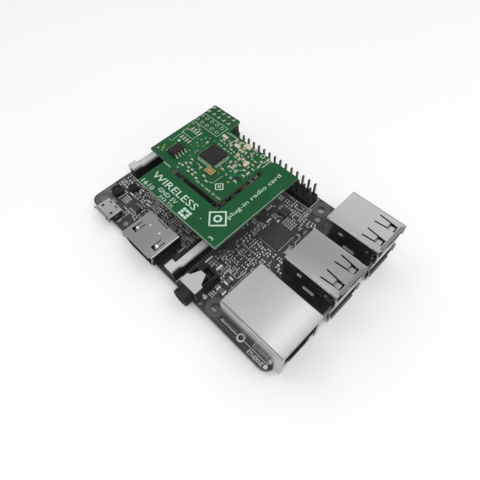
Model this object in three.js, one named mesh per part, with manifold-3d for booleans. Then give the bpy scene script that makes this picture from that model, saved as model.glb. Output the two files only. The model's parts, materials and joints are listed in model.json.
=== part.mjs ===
// A palm-size single board computer that carries a plug-in radio card, as an assembly of separate pieces.
// Millimetres. +X runs along the long side towards the USB and Ethernet sockets, +Y towards the pin header
// and +Z up. The pieces are modelled from the board's corner, with z = 0 on the board's upper face, and the
// finished group is then moved so that its origin is the centre of the foot of its bounding box.

import * as THREE from 'three';
import { mergeVertices } from 'three/addons/utils/BufferGeometryUtils.js';
import Module from 'manifold-3d';

const wasm = await Module();
wasm.setup();

// ---------- driving dimensions ----------

const BOARD = { length: 85, width: 56, thickness: 1.4, corner: 3 };
const UNDERSIDE = -BOARD.thickness;
const TAIL = 1.6; // how far soldered legs stand out below the board
const FOOT = UNDERSIDE - TAIL;
const LEG_CLEARANCE = 0.12; // between a leg and the wall of its hole

const MOUNTING = { inset: 3.5, pitchX: 58, pitchY: 49, holeRadius: 1.375, padRadius: 3.1, padRise: 0.05 };

const PITCH = 2.54; // header pin pitch, both ways
const PIN = 0.64; // side of a square header pin
const HEADER = { x: 8.37, y: 51.23, columns: 20, height: 2.54, pinTop: 8.7 };

const CARD = { thickness: 1.2, seatGap: 0.3, socketHeight: 8.5, columns: 5, tailRise: 0.7 };
const SOCKET_FOOT = HEADER.height + CARD.seatGap;
const CARD_FOOT = SOCKET_FOOT + CARD.socketHeight;
const CARD_TOP = CARD_FOOT + CARD.thickness;
const CARD_EDGE = { left: 7.6, right: 52.9, low: 12.4, high: 48.9 };
const CARD_TAB = { right: 20.5, high: 55.0 };
const CARD_STEP = { x: 15.9, y: 24.4 };
const CARD_OVAL = { x: 39.2, y: 35.2, length: 2.6, width: 1.7 };
const CARD_TEST_HOLE = { x: 38.4, y: 47.9, radius: 0.4 };
const CARD_SLOT = { width: 2, left: 20.6, right: 43.7, low: 22.4, high: 42.5 };

const USB = {
  back: 69.9, front: 87.1, width: 13.1, height: 16.2, sheet: 0.3, fold: 0.55, centres: [28.95, 47.1],
};
const USB_DIVIDER_BACK = 76.2;
const USB_PORT = { height: 5.2, lowerFloor: 1.2, upperFloor: 10.7, tongue: 11.1, tongueThickness: 1.8 };
const ETHERNET = { back: 65.9, front: 87.1, centre: 10.25, width: 15.9, height: 13.5, sheet: 0.25, fold: 0.6 };
const VIDEO = { centre: 31.7, halfWidth: 7.4, height: 6.5, front: -1.2, back: 9.8, sheet: 0.3, fold: 0.5 };
const POWER = { centre: 10.4, halfWidth: 4.0, height: 2.7, front: -1.2, back: 4.2, sheet: 0.25, fold: 0.4 };
const AUDIO = {
  centre: 53.4, halfWidth: 3.1, height: 6, front: 0.4, step: 7.2, back: 10.4, rearHeight: 3.6, axisHeight: 3.05,
};
const AUDIO_BARREL = { radius: 2.95, bore: 1.8, reach: 2.7 };
const CARD_READER = { left: 1.5, right: 15.5, low: 21, high: 35, height: 1.4, sheet: 0.2 };
const RIBBON = { length: 22.4, height: 5.5, baseTop: 4.2, latchFoot: 4.35 };
const CAMERA_CORNER = { x: 42.9, y: 0.3 };
const DISPLAY_CORNER = { x: 1.5, y: 16.8 };

// ---------- materials ----------

const finish = (color, roughness, metalness) => new THREE.MeshStandardMaterial({ color, roughness, metalness });
const MAIN_MASK = finish(0x4c4e50, 0.5, 0);
const CARD_MASK = finish(0x1d6b3a, 0.4, 0);
const SHELL_METAL = finish(0xbfbfbd, 0.3, 0.9);
const BLACK_PLASTIC = finish(0x1b1b1d, 0.5, 0);
const WHITE_PLASTIC = finish(0xe2e2de, 0.45, 0);
const CHIP_EPOXY = finish(0x232426, 0.6, 0);
const CERAMIC = finish(0xb9b2a4, 0.5, 0);
const GOLD_LID = finish(0xc9a25a, 0.3, 0.8);
const CLEAR_LENS = finish(0xd8dccb, 0.2, 0);

// ---------- solids ----------

const around = (middle, size) => [middle - size / 2, middle + size / 2];

// A closed three.js geometry as a manifold solid.
function solid(geometry) {
  const bare = geometry.index ? geometry.toNonIndexed() : geometry;
  const shape = new THREE.BufferGeometry().setAttribute('position', bare.getAttribute('position'));
  const merged = mergeVertices(shape, 1e-4);
  return new wasm.Manifold(new wasm.Mesh({
    numProp: 3,
    vertProperties: new Float32Array(merged.attributes.position.array),
    triVerts: new Uint32Array(merged.index.array),
  }));
}

const join = (...pieces) => pieces.flat().reduce((whole, piece) => whole.add(piece));
const cut = (body, ...tools) => tools.flat().reduce((left, tool) => left.subtract(tool), body);

function block(x, y, z) {
  const geometry = new THREE.BoxGeometry(x[1] - x[0], y[1] - y[0], z[1] - z[0]);
  geometry.translate((x[0] + x[1]) / 2, (y[0] + y[1]) / 2, (z[0] + z[1]) / 2);
  return solid(geometry);
}

const toShape = (outline) => new THREE.Shape(outline.map(([a, b]) => new THREE.Vector2(a, b)));

// An upright prism: the outline's points are [x, y].
function prismZ(shape, z, curveSegments = 6) {
  const outline = shape instanceof THREE.Shape ? shape : toShape(shape);
  const settings = { depth: z[1] - z[0], bevelEnabled: false, curveSegments };
  return solid(new THREE.ExtrudeGeometry(outline, settings).translate(0, 0, z[0]));
}

// A prism that runs along Y: the outline's points are [x, z].
function prismY(outline, y) {
  const settings = { depth: y[1] - y[0], bevelEnabled: false };
  const prism = new THREE.ExtrudeGeometry(toShape(outline), settings);
  return solid(prism.rotateX(Math.PI / 2).translate(0, y[1], 0));
}

// A prism that runs along X: the outline's points are [y, z].
function prismX(outline, x) {
  const turn = new THREE.Matrix4().set(0, 0, 1, 0, 1, 0, 0, 0, 0, 1, 0, 0, 0, 0, 0, 1);
  const settings = { depth: x[1] - x[0], bevelEnabled: false };
  return solid(new THREE.ExtrudeGeometry(toShape(outline), settings).applyMatrix4(turn).translate(x[0], 0, 0));
}

function rodZ(x, y, radius, z, sides = 20) {
  const geometry = new THREE.CylinderGeometry(radius, radius, z[1] - z[0], sides).rotateX(Math.PI / 2);
  return solid(geometry.translate(x, y, (z[0] + z[1]) / 2));
}

function rodY(x, z, radius, y, sides = 20) {
  const geometry = new THREE.CylinderGeometry(radius, radius, y[1] - y[0], sides);
  return solid(geometry.translate(x, (y[0] + y[1]) / 2, z));
}

function roundedRectangle(x, y, radius) {
  const quarter = Math.PI / 2;
  const shape = new THREE.Shape();
  shape.absarc(x[1] - radius, y[0] + radius, radius, -quarter, 0);
  shape.absarc(x[1] - radius, y[1] - radius, radius, 0, quarter);
  shape.absarc(x[0] + radius, y[1] - radius, radius, quarter, 2 * quarter);
  shape.absarc(x[0] + radius, y[0] + radius, radius, 2 * quarter, 3 * quarter);
  return shape;
}

const mirrored = (outline) => outline.map(([a, b]) => [-a, b]).reverse();
const mirroredAcross = (outline) => outline.map(([a, b]) => [a, -b]).reverse();
const shifted = (outline, da, db = 0) => outline.map(([a, b]) => [a + da, b + db]);

// A block of folded sheet that runs along X: its two upper edges are rounded to the fold's radius.
function foldedBlock(x, y, z, fold) {
  const below = z[0] - 2 * fold;
  const section = roundedRectangle(y, [below, z[1]], fold).getPoints(3).map((point) => [point.x, point.y]);
  return cut(prismX(section, x), block([x[0] - 1, x[1] + 1], [y[0] - 1, y[1] + 1], [below - 1, z[0]]));
}

function piece(name, body, material) {
  const data = body.getMesh();
  const geometry = new THREE.BufferGeometry();
  geometry.setAttribute('position', new THREE.BufferAttribute(data.vertProperties, 3));
  geometry.setIndex(new THREE.BufferAttribute(data.triVerts, 1));
  geometry.computeVertexNormals();
  const mesh = new THREE.Mesh(geometry, material);
  mesh.name = name;
  return mesh;
}

// ---------- legs that pass through the board: each is a footprint {x, y} of two spans ----------

const footprint = (x, y, sizeX, sizeY = sizeX) => ({ x: around(x, sizeX), y: around(y, sizeY) });
const sides = [-1, 1];

function headerPins(columns) {
  const pins = [];
  for (let column = 0; column < columns; column += 1) {
    for (const row of [0, 1]) {
      pins.push(footprint(HEADER.x + column * PITCH, HEADER.y + row * PITCH, PIN));
    }
  }
  return pins;
}

function usbTabs(centre) {
  const y = (USB.width - USB.sheet) / 2;
  return sides.flatMap((side) => [73.6, 81.4].map((x) => footprint(x, centre + side * y, 2, USB.sheet)));
}

function usbPins(centre) {
  return [71.7, 74.3].flatMap((x) => [-3.5, -1, 1, 3.5].map((dy) => footprint(x, centre + dy, 0.6)));
}

function ethernetTabs() {
  const y = (ETHERNET.width - ETHERNET.sheet) / 2;
  return sides.map((side) => footprint(78.5, ETHERNET.centre + side * y, 2, ETHERNET.sheet));
}

function ethernetPins() {
  const pins = [];
  for (let contact = 0; contact < 8; contact += 1) {
    pins.push(footprint(contact % 2 ? 69.6 : 72.14, ETHERNET.centre + (contact - 3.5) * 1.27, 0.5));
  }
  return pins;
}

const ETHERNET_PEGS = sides.map((side) => ({ x: 79.4, y: ETHERNET.centre + side * 5.4, radius: 1.5 }));
const AUDIO_PEGS = [2.4, 9.4].map((y) => ({ x: AUDIO.centre, y, radius: 0.6 }));

function videoTabs() {
  const x = VIDEO.halfWidth - VIDEO.sheet / 2;
  return sides.flatMap((side) => [1.7, 7.6].map((y) =>
    footprint(VIDEO.centre + side * x, y, VIDEO.sheet, 1.4)));
}

function powerTabs() {
  const x = POWER.halfWidth - POWER.sheet / 2;
  return sides.map((side) => footprint(POWER.centre + side * x, 1.9, POWER.sheet, 1.5));
}

const leg = (print, top) => block(print.x, print.y, [FOOT, top]);
const grown = (span) => [span[0] - LEG_CLEARANCE, span[1] + LEG_CLEARANCE];
const legHole = (print) => block(grown(print.x), grown(print.y), [FOOT, 1]);
const pegHole = (peg) => rodZ(peg.x, peg.y, peg.radius + LEG_CLEARANCE, [FOOT, 1], 12);

// ---------- main board and what is soldered flat on it ----------

function mountingHoles() {
  return [0, 1].flatMap((i) => [0, 1].map((j) => ({
    x: MOUNTING.inset + i * MOUNTING.pitchX,
    y: MOUNTING.inset + j * MOUNTING.pitchY,
  })));
}

function mainBoard() {
  const outline = roundedRectangle([0, BOARD.length], [0, BOARD.width], BOARD.corner);
  const padSpan = [UNDERSIDE - MOUNTING.padRise, MOUNTING.padRise];
  const pads = mountingHoles().map((hole) => rodZ(hole.x, hole.y, MOUNTING.padRadius, padSpan));
  const legs = [
    ...headerPins(HEADER.columns),
    ...USB.centres.flatMap((centre) => [...usbTabs(centre), ...usbPins(centre)]),
    ...ethernetTabs(), ...ethernetPins(), ...videoTabs(), ...powerTabs(),
  ];
  return cut(
    join(prismZ(outline, [UNDERSIDE, 0]), pads),
    mountingHoles().map((hole) => rodZ(hole.x, hole.y, MOUNTING.holeRadius, [FOOT, 1])),
    legs.map(legHole),
    [...ETHERNET_PEGS, ...AUDIO_PEGS].map(pegHole),
  );
}

// A flat part that stands on a face: [name, centre x, centre y, size x, size y, height, material].
const BOARD_PARTS = [
  ['processor', 25.4, 32.4, 14, 14, 1.3, CHIP_EPOXY],
  ['usb_ethernet_controller', 57.8, 33.8, 7.9, 7.9, 0.9, CHIP_EPOXY],
  ['power_management_chip', 15.4, 8.8, 3.6, 2.2, 1.0, CHIP_EPOXY],
  ['voltage_regulator', 53.6, 42.8, 3.0, 3.0, 1.0, CHIP_EPOXY],
  ['surge_diode', 20.2, 8.6, 2.4, 1.4, 0.9, CHIP_EPOXY],
  ['processor_crystal', 37.2, 40.2, 3.2, 2.5, 0.7, GOLD_LID],
  ['ethernet_crystal', 64.4, 31.8, 1.3, 2.4, 0.9, SHELL_METAL],
  ['output_capacitor_1', 59.3, 8.0, 2.8, 1.6, 1.2, CERAMIC],
  ['output_capacitor_2', 58.6, 11.7, 1.5, 2.6, 1.2, CERAMIC],
  ['power_light', 1.3, 42.5, 0.8, 1.6, 0.6, CLEAR_LENS],
  ['activity_light', 1.3, 46.0, 0.8, 1.6, 0.6, CLEAR_LENS],
];

const UNDERSIDE_PARTS = [
  ['memory_chip', 25.4, 29.0, 14, 12, 1.0, CHIP_EPOXY],
  ['input_fuse', 9.0, 8.0, 3.2, 2.5, 0.8, BLACK_PLASTIC],
];

const CARD_PARTS = [
  ['card_radio_chip', 26.1, 36.9, 7, 7, 0.9, CHIP_EPOXY],
  ['card_crystal', 30.5, 31.2, 3.3, 2.5, 0.6, GOLD_LID],
  ['card_filter', 32.0, 47.4, 2.8, 1.8, 0.8, CERAMIC],
  ['card_capacitor_1', 22.7, 45.6, 2.4, 1.2, 0.5, CERAMIC],
  ['card_capacitor_2', 29.0, 45.3, 2.4, 1.2, 0.5, CERAMIC],
  ['card_capacitor_3', 37.0, 41.5, 1.2, 2.4, 0.5, CERAMIC],
];

function flatParts(table, base, up = 1) {
  return table.map(([name, x, y, sizeX, sizeY, height, material]) => {
    const z = up > 0 ? [base, base + height] : [base - height, base];
    return piece(name, block(around(x, sizeX), around(y, sizeY), z), material);
  });
}

// A wound coil: a ferrite body with round corners, and the ring of the winding sunk round its core.
function inductor(x, y, size, height) {
  const outline = roundedRectangle(around(x, size), around(y, size), size * 0.36);
  const groove = [height - 0.35, height + 1];
  const winding = cut(rodZ(x, y, size * 0.4, groove, 24), rodZ(x, y, size * 0.22, groove, 24));
  return cut(prismZ(outline, [0, height]), winding);
}

// ---------- pin header ----------

function gpioHeader() {
  const x = [HEADER.x - PITCH / 2, HEADER.x + (HEADER.columns - 0.5) * PITCH];
  const y = [HEADER.y - PITCH / 2, HEADER.y + 1.5 * PITCH];
  const pins = headerPins(HEADER.columns).map((print) => leg(print, HEADER.pinTop));
  return join(block(x, y, [0, HEADER.height]), pins);
}

// ---------- USB sockets ----------

const USB_SPRING = { root: 80.3, bend: 84.0, tipEnd: 85.8, windowEnd: 86.3, slit: 0.45 };
const TOP_SPRING = { offset: 3.05, rootHalf: 1.65, bendHalf: 0.85, tipHalf: 0.7, windowHalf: 1.25, drop: 0.6 };
const SIDE_SPRING = { height: 13.1, rootHalf: 1.2, bendHalf: 0.6, tipHalf: 0.45, windowHalf: 1.0, drop: 0.3 };

// The cuts that free one tapered contact spring, seen square on: [along, across] about its centre line.
function springCuts({ rootHalf, bendHalf, windowHalf }) {
  const { root, bend, windowEnd, slit } = USB_SPRING;
  const slitOutline = [[root, rootHalf - slit], [bend, bendHalf], [bend, bendHalf + slit], [root, rootHalf]];
  const window = [[bend - 0.1, -windowHalf], [windowEnd, 0.1 - windowHalf], [windowEnd, windowHalf - 0.1],
    [bend - 0.1, windowHalf]];
  return [slitOutline, mirroredAcross(slitOutline), window];
}

// A spring's tip, as [along, out]: it dips through the window from the sheet's outer face, then runs level.
function springTip(face, outward, drop) {
  const { bend, tipEnd } = USB_SPRING;
  const sheet = USB.sheet;
  const profile = [
    [bend - 0.3, 0], [bend - 0.3, sheet], [bend + 0.3, sheet + drop], [tipEnd, sheet + drop], [tipEnd, drop],
    [bend + 0.5, drop],
  ];
  return facing(profile.map(([a, depth]) => [a, face - outward * depth]));
}

// A lip that flares out from a sheet edge at a socket's mouth: [across, out] profile along the mouth.
function flare(front, face, sheet, outward) {
  return [
    [front - 0.6, face], [front + 0.3, face + outward * 0.55],
    [front + 0.45, face + outward * 0.3], [front - 0.2, face - outward * sheet],
    [front - 0.6, face - outward * sheet],
  ];
}

// The outline itself, or its points the other way round if they run clockwise.
function facing(outline) {
  const clockwise = THREE.ShapeUtils.area(toShape(outline).getPoints()) < 0;
  return clockwise ? [...outline].reverse() : outline;
}

// A long lug stands out of each side wall at the divider, and a smaller one above it keys the plastic block.
const PARTITION_LUG = { x: [77.3, 81.0], z: [8.45, 8.8], proud: 0.25 };
const KEY_LUG = { x: [74.8, 76.2], z: [12.7, 13.1], proud: 0.2 };

function usbShell(centre) {
  const { back, front, sheet, height, fold } = USB;
  const y = around(centre, USB.width);
  const inner = [y[0] + sheet, y[1] - sheet];
  const outerBox = foldedBlock([back, front], y, [0, height], fold);
  const ports = [
    [USB_PORT.lowerFloor, USB_PORT.lowerFloor + USB_PORT.height],
    [USB_PORT.upperFloor, height - sheet],
  ];
  const hollow = [
    block([back + 1, front + 1], inner, [USB_PORT.lowerFloor, height - sheet]),
    block([back - 1, USB_DIVIDER_BACK], inner, [-1, height - sheet]),
    block([back + 1.2, front - 0.5], inner, [-1, USB_PORT.lowerFloor - sheet]),
  ];
  const throughTop = [height - sheet - 0.5, height + 0.5];
  const throughSides = [y[0] - 1, y[1] + 1];
  const topCuts = sides.flatMap((side) => springCuts(TOP_SPRING).map((outline) =>
    prismZ(shifted(outline, 0, centre + side * TOP_SPRING.offset), throughTop)));
  const sideCuts = springCuts(SIDE_SPRING).map((outline) =>
    prismY(shifted(outline, 0, SIDE_SPRING.height), throughSides));
  const lugSlits = [PARTITION_LUG, KEY_LUG].map((lug) =>
    block(lug.x, throughSides, [lug.z[0] - 0.2, lug.z[1] + 0.2]));
  const lugs = [PARTITION_LUG, KEY_LUG].flatMap((lug) => sides.map((side) => {
    const wall = centre + (side * (USB.width + lug.proud - sheet)) / 2;
    return block([lug.x[0] - 0.1, lug.x[1] + 0.1], around(wall, sheet + lug.proud), lug.z);
  }));
  const topTips = sides.map((side) => prismY(
    springTip(height, 1, TOP_SPRING.drop),
    around(centre + side * TOP_SPRING.offset, 2 * TOP_SPRING.tipHalf),
  ));
  const sideTips = sides.map((side) => prismZ(
    springTip(centre + side * USB.width / 2, side, SIDE_SPRING.drop),
    around(SIDE_SPRING.height, 2 * SIDE_SPRING.tipHalf),
  ));
  const topLip = prismY(facing(flare(front, height, sheet, 1)), around(centre, 10));
  const floorLip = prismY(facing(flare(front, USB_PORT.lowerFloor - sheet, sheet, -1)), around(centre, 10));
  const sideLips = ports.flatMap((port) => sides.map((side) =>
    prismZ(facing(flare(front, centre + side * USB.width / 2, sheet, side)), [port[0] + 0.7, port[1] - 0.7])));
  const tabs = usbTabs(centre).map((print) => leg(print, 1));
  return join(cut(outerBox, hollow, topCuts, sideCuts, lugSlits), lugs, topTips, sideTips, topLip, floorLip,
    sideLips, tabs);
}

// The plate that closes the shell behind the plastic block.
function usbBackCover(centre) {
  const width = USB.width - 2 * USB.sheet - 0.04;
  return block([USB.back, USB.back + USB.sheet], around(centre, width), [0, USB.height - USB.sheet - 0.02]);
}

// The channel between the two ports: a floor, a roof and the face between the mouths.
function usbDivider(centre) {
  const width = USB.width - 2 * USB.sheet - 0.04;
  const z = [USB_PORT.lowerFloor + USB_PORT.height, USB_PORT.upperFloor];
  const channel = [z[0] + USB.sheet, z[1] - USB.sheet];
  return cut(
    block([USB_DIVIDER_BACK, USB.front], around(centre, width), z),
    block([USB_DIVIDER_BACK - 1, USB.front - USB.sheet], around(centre, width + 2), channel),
  );
}

function usbInsert(centre) {
  const gap = 0.1;
  const rear = block([USB.back + USB.sheet, 75.9], around(centre, USB.width - 2 * USB.sheet - 2 * gap),
    [0, USB.height - USB.sheet - gap]);
  const tongues = [USB_PORT.lowerFloor, USB_PORT.upperFloor].map((floor) => {
    const middle = floor + 3.45;
    return block([75.9, 85.2], around(centre, USB_PORT.tongue), around(middle, USB_PORT.tongueThickness));
  });
  return join(rear, tongues, usbPins(centre).map((print) => leg(print, 1)));
}

// ---------- Ethernet socket ----------

const JACK = { floor: 3.4, roof: 10.2, halfWidth: 5.9, depth: 15.5, notchFloor: 1.2, notchHalfWidth: 3.1 };

const SIDE_SEAM = [[75.7, 10.75], [78.1, 12.35], [86.2, 12.75]]; // [x, z], where each side flap folds over
const SEAM_WIDTH = 0.25;
const FOOT_RELIEF = { x: [66.4, 71.7], top: 0.95 };

function ethernetShell() {
  const { back, front, sheet, height, centre, fold } = ETHERNET;
  const y = around(centre, ETHERNET.width);
  const throughSides = [y[0] - 1, y[1] + 1];
  const skin = cut(
    foldedBlock([back, front], y, [0.1, height], fold),
    block([back + sheet, front - sheet], [y[0] + sheet, y[1] - sheet], [-1, height - sheet]),
    block([front - 1, front + 1], around(centre, 2 * JACK.halfWidth + 1), [-1, JACK.roof + 0.3]),
  );
  const lowerEdge = SIDE_SEAM.map(([x, z]) => [x, z - SEAM_WIDTH]).reverse();
  const seam = prismY(facing([...SIDE_SEAM, ...lowerEdge]), throughSides);
  const relief = block(FOOT_RELIEF.x, throughSides, [-1, FOOT_RELIEF.top]);
  return join(cut(skin, seam, relief), ethernetTabs().map((print) => leg(print, 1)));
}

function ethernetHousing() {
  const { back, front, sheet, height, centre } = ETHERNET;
  const gap = 0.1;
  const width = ETHERNET.width - 2 * sheet - 2 * gap;
  const body = block([back + sheet, front - sheet - gap], around(centre, width), [0, height - sheet - gap]);
  const cavity = block([front - JACK.depth, front], around(centre, 2 * JACK.halfWidth),
    [JACK.floor, JACK.roof]);
  const notch = block([front - JACK.depth + 2, front], around(centre, 2 * JACK.notchHalfWidth),
    [JACK.notchFloor, JACK.floor + 1]);
  const carrierRoom = block([73.4, front - JACK.depth + 3], around(centre, 10.6), [8.2, 12.2]);
  const lensRooms = sides.map((side) =>
    block([front - 8, front], around(centre + side * 5.15, 2.6), [1.0, 3.0]));
  const pegs = ETHERNET_PEGS.map((peg) => rodZ(peg.x, peg.y, peg.radius, [FOOT, 0.5], 12));
  const pins = ethernetPins().map((print) => leg(print, 1));
  return join(cut(body, cavity, notch, carrierRoom, lensRooms), pegs, pins);
}

// The comb that carries the eight spring wires across the roof of the jack.
function ethernetContacts() {
  const { front, centre } = ETHERNET;
  const carrier = block([73.7, front - JACK.depth + 2.7], around(centre, 10), [8.5, 11.9]);
  const wires = [];
  for (let contact = 0; contact < 8; contact += 1) {
    const y = centre + (contact - 3.5) * 1.02;
    const run = [[74.2, 8.7], [74.2, 8.4], [78.6, 5.9], [78.9, 6.1], [75.2, 8.7]];
    wires.push(prismY(facing(run), around(y, 0.35)));
  }
  return join(carrier, wires);
}

function ethernetLens(side) {
  const { front, centre } = ETHERNET;
  return block([front - 7.5, front - 0.15], around(centre + side * 5.15, 2.0), [1.3, 2.7]);
}

// ---------- video and power sockets: a D-section shell round a plastic tongue ----------

function dSection(halfWidth, height, foot, shoulder, toe, fold) {
  const shape = new THREE.Shape();
  shape.moveTo(-toe, foot);
  shape.lineTo(toe, foot);
  shape.lineTo(halfWidth, shoulder);
  shape.absarc(halfWidth - fold, height - fold, fold, 0, Math.PI / 2);
  shape.absarc(fold - halfWidth, height - fold, fold, Math.PI / 2, Math.PI);
  shape.lineTo(-halfWidth, shoulder);
  return shape.getPoints(3).map((point) => [point.x, point.y]);
}

const VIDEO_FINGER = {
  offset: 4.9, slits: 0.8, slit: 0.35, front: 1.25, bend: 3.1, root: 5.3, windowHalf: 1.05,
};

function videoShell() {
  const { centre, halfWidth, height, front, back, sheet, fold } = VIDEO;
  const outer = shifted(dSection(halfWidth, height, 0.2, 2.3, 5.8, fold), centre);
  const inner = shifted(dSection(halfWidth - sheet, height - sheet, 0.5, 2.45, 5.65, fold - sheet), centre);
  const finger = VIDEO_FINGER;
  const throughTop = [height - 1, height + 0.5];
  const fingers = sides.flatMap((side) => {
    const x = centre + side * finger.offset;
    return [
      ...sides.map((edge) =>
        block(around(x + edge * finger.slits, finger.slit), [finger.front, finger.root], throughTop)),
      block(around(x, 2 * finger.windowHalf), [finger.front, 2.3], throughTop),
      block(around(x, 2 * finger.slits), [finger.front, finger.bend], throughTop),
    ];
  });
  const backSlit = block(around(centre, 5), [9.05, 9.35], throughTop);
  const tipProfile = [
    [finger.bend + 0.1, height], [2.5, height - 0.22], [1.9, height - 0.6], [1.9, height - 0.85],
    [2.6, height - 0.5], [finger.bend + 0.1, height - sheet],
  ];
  const tips = sides.map((side) => prismX(facing(tipProfile), around(centre + side * finger.offset, 1.2)));
  const lipSides = sides.map((side) => prismZ(
    facing(flare(-front, side * halfWidth, sheet, side).map(([a, b]) => [b + centre, -a])), [3, 5.6],
  ));
  const brow = block(around(centre, 13), [front - 0.4, front + 0.1], [height - sheet, height]);
  const tabs = videoTabs().map((print) => leg(print, 3));
  const skin = cut(prismY(outer, [front, back]), prismY(inner, [front - 1, back - sheet]));
  return join(cut(skin, fingers, backSlit), tips, lipSides, brow, tabs);
}

function videoTongue() {
  const { centre, halfWidth, height, back, sheet } = VIDEO;
  const section = dSection(halfWidth - sheet - 0.1, height - sheet - 0.1, 0.6, 2.5, 5.55, 0.1);
  const rear = prismY(shifted(section, centre), [5.8, back - sheet]);
  const tongue = block(around(centre, 11), [-0.2, 5.8], around(3.3, 1.2));
  return join(rear, tongue);
}

function powerShell() {
  const { centre, halfWidth, height, front, back, sheet, fold } = POWER;
  const outer = shifted(dSection(halfWidth, height, 0.1, 1.4, 3.1, fold), centre);
  const inner = shifted(dSection(halfWidth - sheet, height - sheet, 0.35, 1.5, 3.0, fold - sheet), centre);
  const windows = sides.map((side) => block(around(centre + side * 2.4, 0.8), [0.4, 1.4], [2, 3]));
  const backSlits = sides.map((side) => block(around(centre + side * 1.5, 1.3), [3.35, 3.75], [2, 3]));
  const lipTop = prismX(facing(flare(-front, height, sheet, 1).map(([a, b]) => [-a, b])), around(centre, 6));
  const lipSides = sides.map((side) => prismZ(
    facing(flare(-front, side * halfWidth, sheet, side).map(([a, b]) => [b + centre, -a])), [1.5, 2.4],
  ));
  const tabs = powerTabs().map((print) => leg(print, 1.7));
  const skin = cut(prismY(outer, [front, back]), prismY(inner, [front - 1, back - sheet]));
  return join(cut(skin, windows, backSlits), lipTop, lipSides, tabs);
}

function powerTongue() {
  const { centre, back, sheet } = POWER;
  const rear = prismY(shifted(dSection(3.6, 2.35, 0.45, 1.55, 2.9, 0.1), centre), [2.0, back - sheet]);
  const tongue = block(around(centre, 3.7), [-0.5, 2.0], around(1.65, 0.6));
  return join(rear, tongue);
}

// ---------- audio and video jack ----------

// Two cheeks round the bore, with a spring pocket in each, and a low rear part that the bore leaves open.
function audioBody() {
  const { centre, halfWidth, height, front, step, back, rearHeight, axisHeight } = AUDIO;
  const cheeks = block(around(centre, 2 * halfWidth), [front, step], [0, height]);
  const rear = block(around(centre, 5.7), [step - 0.1, back], [0, rearHeight]);
  const pockets = sides.map((side) => block(around(centre + side * 2.35, 0.75), [4.3, 6.7], [3, height + 1]));
  const pegs = AUDIO_PEGS.map((peg) => rodZ(peg.x, peg.y, peg.radius, [FOOT + 0.4, 0.5], 12));
  const bore = rodY(centre, axisHeight, AUDIO_BARREL.bore, [front - 1, back - 0.8], 16);
  return cut(join(cheeks, rear, pegs), bore, pockets);
}

function audioBarrel() {
  const { centre, front, axisHeight } = AUDIO;
  const y = [-AUDIO_BARREL.reach, front];
  const ring = rodY(centre, axisHeight, AUDIO_BARREL.radius, y, 28);
  const collar = rodY(centre, axisHeight, AUDIO_BARREL.radius - 0.35, [y[0] - 1, y[0] + 0.35], 28);
  const face = rodY(centre, axisHeight, AUDIO_BARREL.bore + 0.55, [y[0] - 1, y[0] + 0.35], 28);
  return cut(ring, cut(collar, face), rodY(centre, axisHeight, AUDIO_BARREL.bore, [y[0] - 1, y[1] + 1], 16));
}

// The ground plate over the jack's mouth: a waisted top with a flap down each side.
function audioPlate() {
  const { centre, halfWidth, height } = AUDIO;
  const half = [[halfWidth + 0.2, 0.5], [halfWidth + 0.2, 3.5], [2.4, 3.8], [1.0, 6.9]];
  const top = prismZ([...half, ...mirrored(half)].map(([a, b]) => [a + centre, b]), [height, height + 0.2]);
  const flaps = sides.map((side) => {
    const x = around(centre + side * (halfWidth + 0.1), 0.2);
    return block(x, [0.5, 3.5], [0.15, height + 0.2]);
  });
  return join(top, flaps);
}

// ---------- flat-cable connectors ----------

// The fixed base: a cable slot along it, and a well at each end that guides a leg of the latch.
function ribbonBase(corner) {
  const y = [corner.y, corner.y + RIBBON.length];
  const well = (span) => block([corner.x + 1.1, corner.x + 2.3], span, [1.2, RIBBON.height]);
  return cut(
    block([corner.x + 0.2, corner.x + 3.8], [y[0] + 0.2, y[1] - 0.2], [0, RIBBON.baseTop]),
    block([corner.x + 0.6, corner.x + 2.3], [y[0] + 3.4, y[1] - 3.4], [1, RIBBON.height]),
    well([y[0] + 1.0, y[0] + 2.2]),
    well([y[1] - 2.2, y[1] - 1.0]),
  );
}

// The latch: a cap with broad ends, a wedge that presses the cable, and a guide leg at each end.
function ribbonLatch(corner) {
  const { length, height, latchFoot } = RIBBON;
  const end = 0.15;
  const outline = [
    [0, end], [3.3, end], [3.3, 3.1], [4.0, 4.2], [4.0, 18.2], [3.3, 19.3], [3.3, length - end],
    [0, length - end], [0, 19.2], [1.6, 19.2], [1.6, 3.2], [0, 3.2],
  ];
  const guide = (y) => block([corner.x + 1.2, corner.x + 2.2], y, [1.5, latchFoot + 0.2]);
  return join(
    prismZ(shifted(outline, corner.x, corner.y), [latchFoot, height]),
    block([corner.x + 1.75, corner.x + 2.15], [corner.y + 3.7, corner.y + length - 3.7],
      [2.6, latchFoot + 0.2]),
    guide([corner.y + 1.1, corner.y + 2.1]),
    guide([corner.y + length - 2.1, corner.y + length - 1.1]),
  );
}

// ---------- memory card reader under the board ----------

function readerShell() {
  const { left, right, low, high, height, sheet } = CARD_READER;
  const foot = UNDERSIDE - height;
  const can = block([left, right], [low, high], [foot, UNDERSIDE]);
  const room = block([left - 1, right - sheet], [low + sheet, high - sheet], [foot + sheet, UNDERSIDE + 1]);
  const thumbCut = rodZ(left, (low + high) / 2, 3.2, [foot - 1, foot + sheet + 0.1], 24);
  return cut(can, room, thumbCut);
}

function readerHousing() {
  const { left, right, low, high, height, sheet } = CARD_READER;
  const foot = UNDERSIDE - height + sheet;
  const across = [low + sheet + 0.1, high - sheet - 0.1];
  const plate = block([left + 0.4, right - sheet], across, [UNDERSIDE - 0.35, UNDERSIDE]);
  const stop = block([right - 1.4, right - sheet], across, [foot, UNDERSIDE]);
  const rail = block([left + 0.4, right - sheet], [low + sheet + 0.1, low + 1.5], [foot, UNDERSIDE]);
  return join(plate, stop, rail);
}

// ---------- plug-in card ----------

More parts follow.
